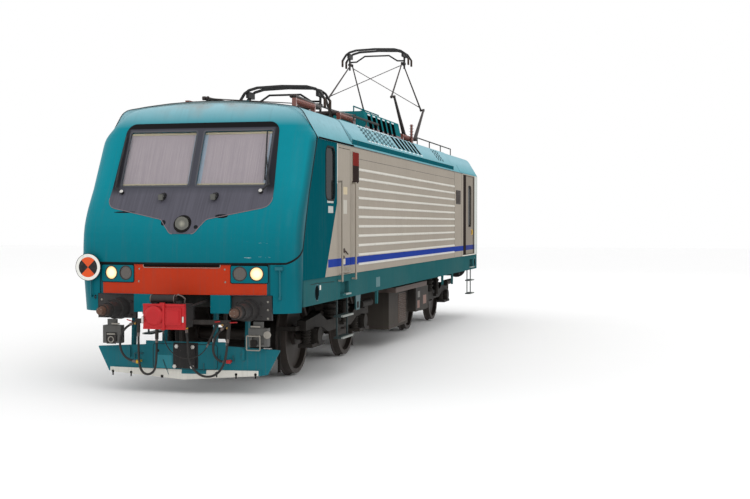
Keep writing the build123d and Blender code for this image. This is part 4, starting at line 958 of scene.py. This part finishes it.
def socket_details(p):
    """Fronts of the two end sockets: brackets, bars, a dark opening, a framed hatch and a round connector."""
    y = SOCKET_Y
    for x0, x1, out, z0, z1, material in (
        (-994, -884, 18, 842, 864, STEEL), (-1063, -944, 14, 708, 728, STEEL), (-1068, -936, 6, 592, 705, DARK),
        (901, 1029, 18, 841, 863, STEEL),
    ):
        p.add(block(x0, x1, y - out, y, z0, z1), material)
    p.add(hoop((-1004, y - 7, 648), AHEAD, 36, 8), STEEL)
    p.add(rod((861, y - 10, 730), (1013, y - 10, 730), 9), STEEL)
    p.add(seal(rounded(844, 1021, 553, 736, 14), (0, y - 1, 0), X, Z, 16, 9), STEEL)
    p.add(plate(rounded(893, 981, 602, 684, 16), (0, y, 0), X, Z, 3), SEAL)
    connector = [(48, 0), (48, 16), (42, 20), (30, 20), (28, 12), (12, 12)]
    p.add(lathe((1117, y + 4, 750), AHEAD, connector, 24), STEEL)


def on_plough(points, out=0):
    """Rows (x, z) laid on the plough's front, which runs back from the centre to both sides."""
    x, z = fine(points, 60).T
    return np.stack([x, PLOUGH_Y + PLOUGH_RAKE * np.abs(x) - out, z], axis=1)


def plough_details(p):
    """Plough: bolts of the centre plate, ribs with a clip, patch outline, keyholes and hooks."""
    heads = [(x, PLOUGH_Y - 10, z) for x, z in ((-95, 580), (126, 577), (-122, 324), (117, 323))]
    p.add(scatter(bolt(AHEAD, 20, 12), heads), BRIGHT)
    for a, b in (((-296, 404), (-209, 215)), ((263, 372), (263, 271))):
        p.add(sweep(on_plough((a, b)), strip(14, 9), AHEAD), TEAL_PAINT)
    p.add(block(-322, -288, -7276, -7258, 172, 208), SEAL)
    for x, z, out in ((-1023, 228, 9), (-755, 224, 9), (432, 248, 9), (683, 236, 9), (932, 238, 9), (-365, 516, 1)):
        y = PLOUGH_Y + PLOUGH_RAKE * abs(x) - out
        p.add(lathe((x, y, z), AHEAD, [(18, -4), (18, 0.6), (15, 1.4), (5, 1.4)], 16), SEAL)
        if out > 1:
            p.add(block(x - 9, x + 9, y - 1.5, y + 4, z - 52, z - 10, 1), SEAL)
    outline = on_plough(rounded(-436, 441, 290, 609, 40), 1)
    p.add(sweep(fine(outline, 40, True), strip(6, 2), AHEAD, True), SEAL)
    for hook in (((472, 475), (472, 382)), ((644, 477), (660, 401)), ((-576, 478), (-700, 473), (-700, 400))):
        p.add(bar(on_plough(hook, 12), 8, AHEAD), TEAL_PAINT)


def side_details(p):
    """Side walls: gutter painted black as the shade under the roof's edge, joints, grille, window seals, plates,
    jacking holes' rims and underfloor plates.
    """
    wall = SIDE_X - 2
    sole = SOLEBAR_X
    # gutter: its black is painted shade under the roof's edge
    p.pair(block(wall, 1507, -4499, 5060, 3258, 3272, 2), BLACK_PAINT)
    p.pair(block(wall, 1501.5, -4230, 4002, 3102, 3107, 1), DARK)
    for y in (4001, 4910):
        p.pair(block(wall, 1501.5, y - 4, y + 4, 1440, 3256, 1), DARK)
    p.pair(seal(rounded(-5970, -5514, 2464, 3188, 110, 7), (SIDE_X, 0, 0), Y, Z, 26, 7), SEAL)
    p.pair(block(wall, 1503, 4204, 4772, 2573, 2876, 2), DARK)
    slat = skin([[(1503, y, 0), (1512, y, 10), (1512, y, 13), (1503, y, 16)] for y in (4214, 4762)])
    p.pair(scatter(slat, [(0, 0, 2586 + 22 * k) for k in range(13)]), LOCK)
    p.pair(block(wall, 1503, -5897, -5595, 2423, 2468, 2), PALE_PLATE)
    p.pair(block(wall, 1503, -5851, -5612, 2288, 2381, 2), PALE_PLATE)
    for y in JACK_Y:
        p.pair(hoop((sole + 2, y, JACK_Z), X, 107, 7, 36), TEAL_PAINT)
    line = ((-6640, 1350), (-6470, 1352), (-6440, 1356), (-6360, 1360), (-6290, 1354), (-5514, 1340))
    y, z = fine(line, 60).T
    p.pair(sweep(np.stack([np.full_like(y, sole + 2), y, z], axis=1), strip(7, 2.5), X), SEAL)
    p.pair(block(sole, sole + 5, -6235, -6175, 1262, 1325, 1), WHITE)
    p.pair(block(sole, sole + 5, -3075, -2810, 1140, 1295, 1), FAINT_PLATE)
    hanger = ((-4300, 1081), (-4275, 860), (-4075, 860), (-4005, 1081))
    p.pair(plate(hanger, (1474, 0, 0), Y, Z, 6), DEEP)
    p.pair(block(1478, 1483, -4233, -4125, 888, 983, 1), SEAL)
    p.pair(block(1248, 1254, -397, 215, 350, 885, 2), LOUVRE)
    slat = skin([[(1254, y, 0), (1268, y, 12), (1268, y, 16), (1254, y, 20)] for y in (-380, 198)])
    p.pair(scatter(slat, [(0, 0, 362 + 37 * k) for k in range(14)]), LOUVRE)


def vent_details(p):
    """Pale plates along the lower and upper ends of the roof's vent bays, on the slope and on the hood."""
    small, wide, hood = range(-3500, -1450, 200), range(-1250, 700, 352), range(-1160, 900, 372)
    for x, z, (_, _, inward, up), long, places in (
        (1466.3, 3418, VENT_SLOPE, 110, small), (1281.9, 3661, VENT_SLOPE, 110, small),
        (1466.3, 3418, VENT_SLOPE, 170, wide),
        (914.4, 3779, HOOD_SIDE, 190, hood), (857.5, 4052, HOOD_SIDE, 190, hood),
    ):
        one = plate(rounded(40, 40 + long, -14, 14, 4, 3), (x, 0, z), Y, (-inward, 0, up), 5)
        p.pair(scatter(one, [(0, y, 0) for y in places]), VENT_PLATE)


def on_door(kind, side, shapes):
    """The piece of the door on one side, from rows (shape, material) as they are on the left."""
    name = kind + ("_left" if side > 0 else "_right")
    p = Piece(name + "_details", name)
    for shape, material in shapes:
        p.add(shape if side > 0 else mirror(shape), material)
    p.done()


def door_details(side):
    """Cab door on one side: lock discs with a lever, and two grips."""
    shapes = [(lathe((1494, y, z), X, [(r, 0), (r, 12), (r - 4, 16), (r * 0.3, 16)], 20), LOCK)
              for y, z, r in ((-5030, 1760, 34), (-5050, 1665, 24))]
    shapes.append((bar(fine(((1506, -5030, 1760), (1516, -4985, 1745), (1516, -4880, 1705)), 12), 9), LOCK))
    for z, y0 in ((1530, -4767), (1462, -4785)):
        grip = ((1494, -5100, z), (1524, -5088, z), (1524, y0 - 12, z), (1494, y0, z))
        shapes.append((bar(fine(grip, 8), 7), STEEL))
    on_door("cab_door", side, shapes)


def rear_door_details(side):
    """Rear door on one side: window seal and yellow handle."""
    handle = ((1478, 6410, 1892), (1498, 6410, 1906), (1498, 6410, 1992), (1478, 6410, 2006))
    on_door("rear_door", side, (
        (seal(rounded(5950, 6360, 2083, 3016, 90, 7), (1480, 0, 0), Y, Z, 24, 6), SEAL),
        (bar(fine(handle, 8), 14, Y), YELLOW),
    ))


def collector_strips(body, y0, top):
    """Carbon strips along one collector head's two bows, with pale tips on the horns."""
    p = Piece(body + "_strips", body)
    apart = 150
    horn = 708
    bow = ((-560, top - 55), (-415, top - 16), (0, top), (415, top - 16), (560, top - 55))
    section = ((-25, -18), (-27, 0), (-25, 17), (25, 17), (27, 0), (25, -18))
    x, z = fine(bow, 80).T
    for y in (y0 - apart, y0 + apart):
        p.add(sweep(np.stack([x, np.full_like(x, y), z - 19], axis=1), section, Z), CARBON)
        for s in (-1, 1):
            p.add(block(s * horn - 18, s * horn + 18, y - 23, y + 23, top - 371, top - 230, 5), LOCK)
    p.done()


# Each of these fills the piece that has its name
for fill in (shell_seam, screen_details, lamp_details, panel_details, buffer_details, coupler_details, pipe_details,
             socket_details, plough_details, side_details, vent_details):
    piece = Piece(fill.__name__)
    fill(piece)
    piece.done()
for side in (1, -1):
    door_details(side)
    rear_door_details(side)
collector_strips("front_head", -3120, 4348.3)
collector_strips("rear_head", 3120, 5815.7)


def studio_world():
    """White light from all round, which the camera sees as plain white too."""
    world = bpy.data.worlds.new("studio")
    world.use_nodes = True
    tree = world.node_tree
    tree.nodes.clear()
    white = add_node(tree, "ShaderNodeBackground", {}, {"Color": (1, 1, 1, 1), "Strength": 1.0})
    add_node(tree, "ShaderNodeOutputWorld", {}, {"Surface": white.outputs[0]})
    bpy.context.scene.world = world


def studio_floor():
    """Pale matt floor, a little uneven in tone."""
    mesh = bpy.data.meshes.new("floor")
    far = 90
    mesh.from_pydata([(-far, -far, 0), (far, -far, 0), (far, far, 0), (-far, far, 0)], [], [(0, 1, 2, 3)])
    floor = new_object("floor", mesh)
    shade = Shade("floor", Roughness=0.9, shine=0.1)
    shade.feed(Base_Color=shade.mix(shade.noise(0.5), (0.965, 0.965, 0.965), (0.985, 0.985, 0.985)))
    mesh.materials.append(shade.material)


# Lamps: name, place in metres, power in watts. All are squares of one size and look at one point.
LIGHTS = (("key", (18, -26, 22), 1400), ("fill", (-20, -16, 14), 300), ("back", (6, 22, 20), 500))
LIGHT_SIZE = 14
LIT_POINT = (0, -2, 1.8)
# Camera: place in metres, tilt below level and turn to the left in degrees, focal length and sensor width in mm
EYE = (5.9895, -21.5403, 2.160)
EYE_TILT, EYE_TURN = 1.195, 13.742
LENS, SENSOR = 57.74, 36


def studio_lights():
    """Large soft lamps."""
    for name, place, power in LIGHTS:
        light = bpy.data.lights.new(name, "AREA")
        light.size = LIGHT_SIZE
        light.energy = power
        obj = new_object(name, light)
        obj.location = place
        run = np.array(LIT_POINT) - place
        obj.rotation_euler = (float(np.arctan2(np.hypot(run[0], run[1]), -run[2])), 0,
                              float(np.arctan2(-run[0], run[1])))


def studio_camera():
    """Camera worked out for a picture 750 wide and 499 high."""
    camera = bpy.data.cameras.new("camera")
    camera.lens = LENS
    camera.sensor_width = SENSOR
    eye = new_object("camera", camera)
    eye.location = EYE
    eye.rotation_euler = (radians(90 - EYE_TILT), 0, radians(EYE_TURN))
    bpy.context.scene.camera = eye
    bpy.context.scene.view_settings.view_transform = "Standard"


studio_world()
studio_floor()
studio_lights()
studio_camera()
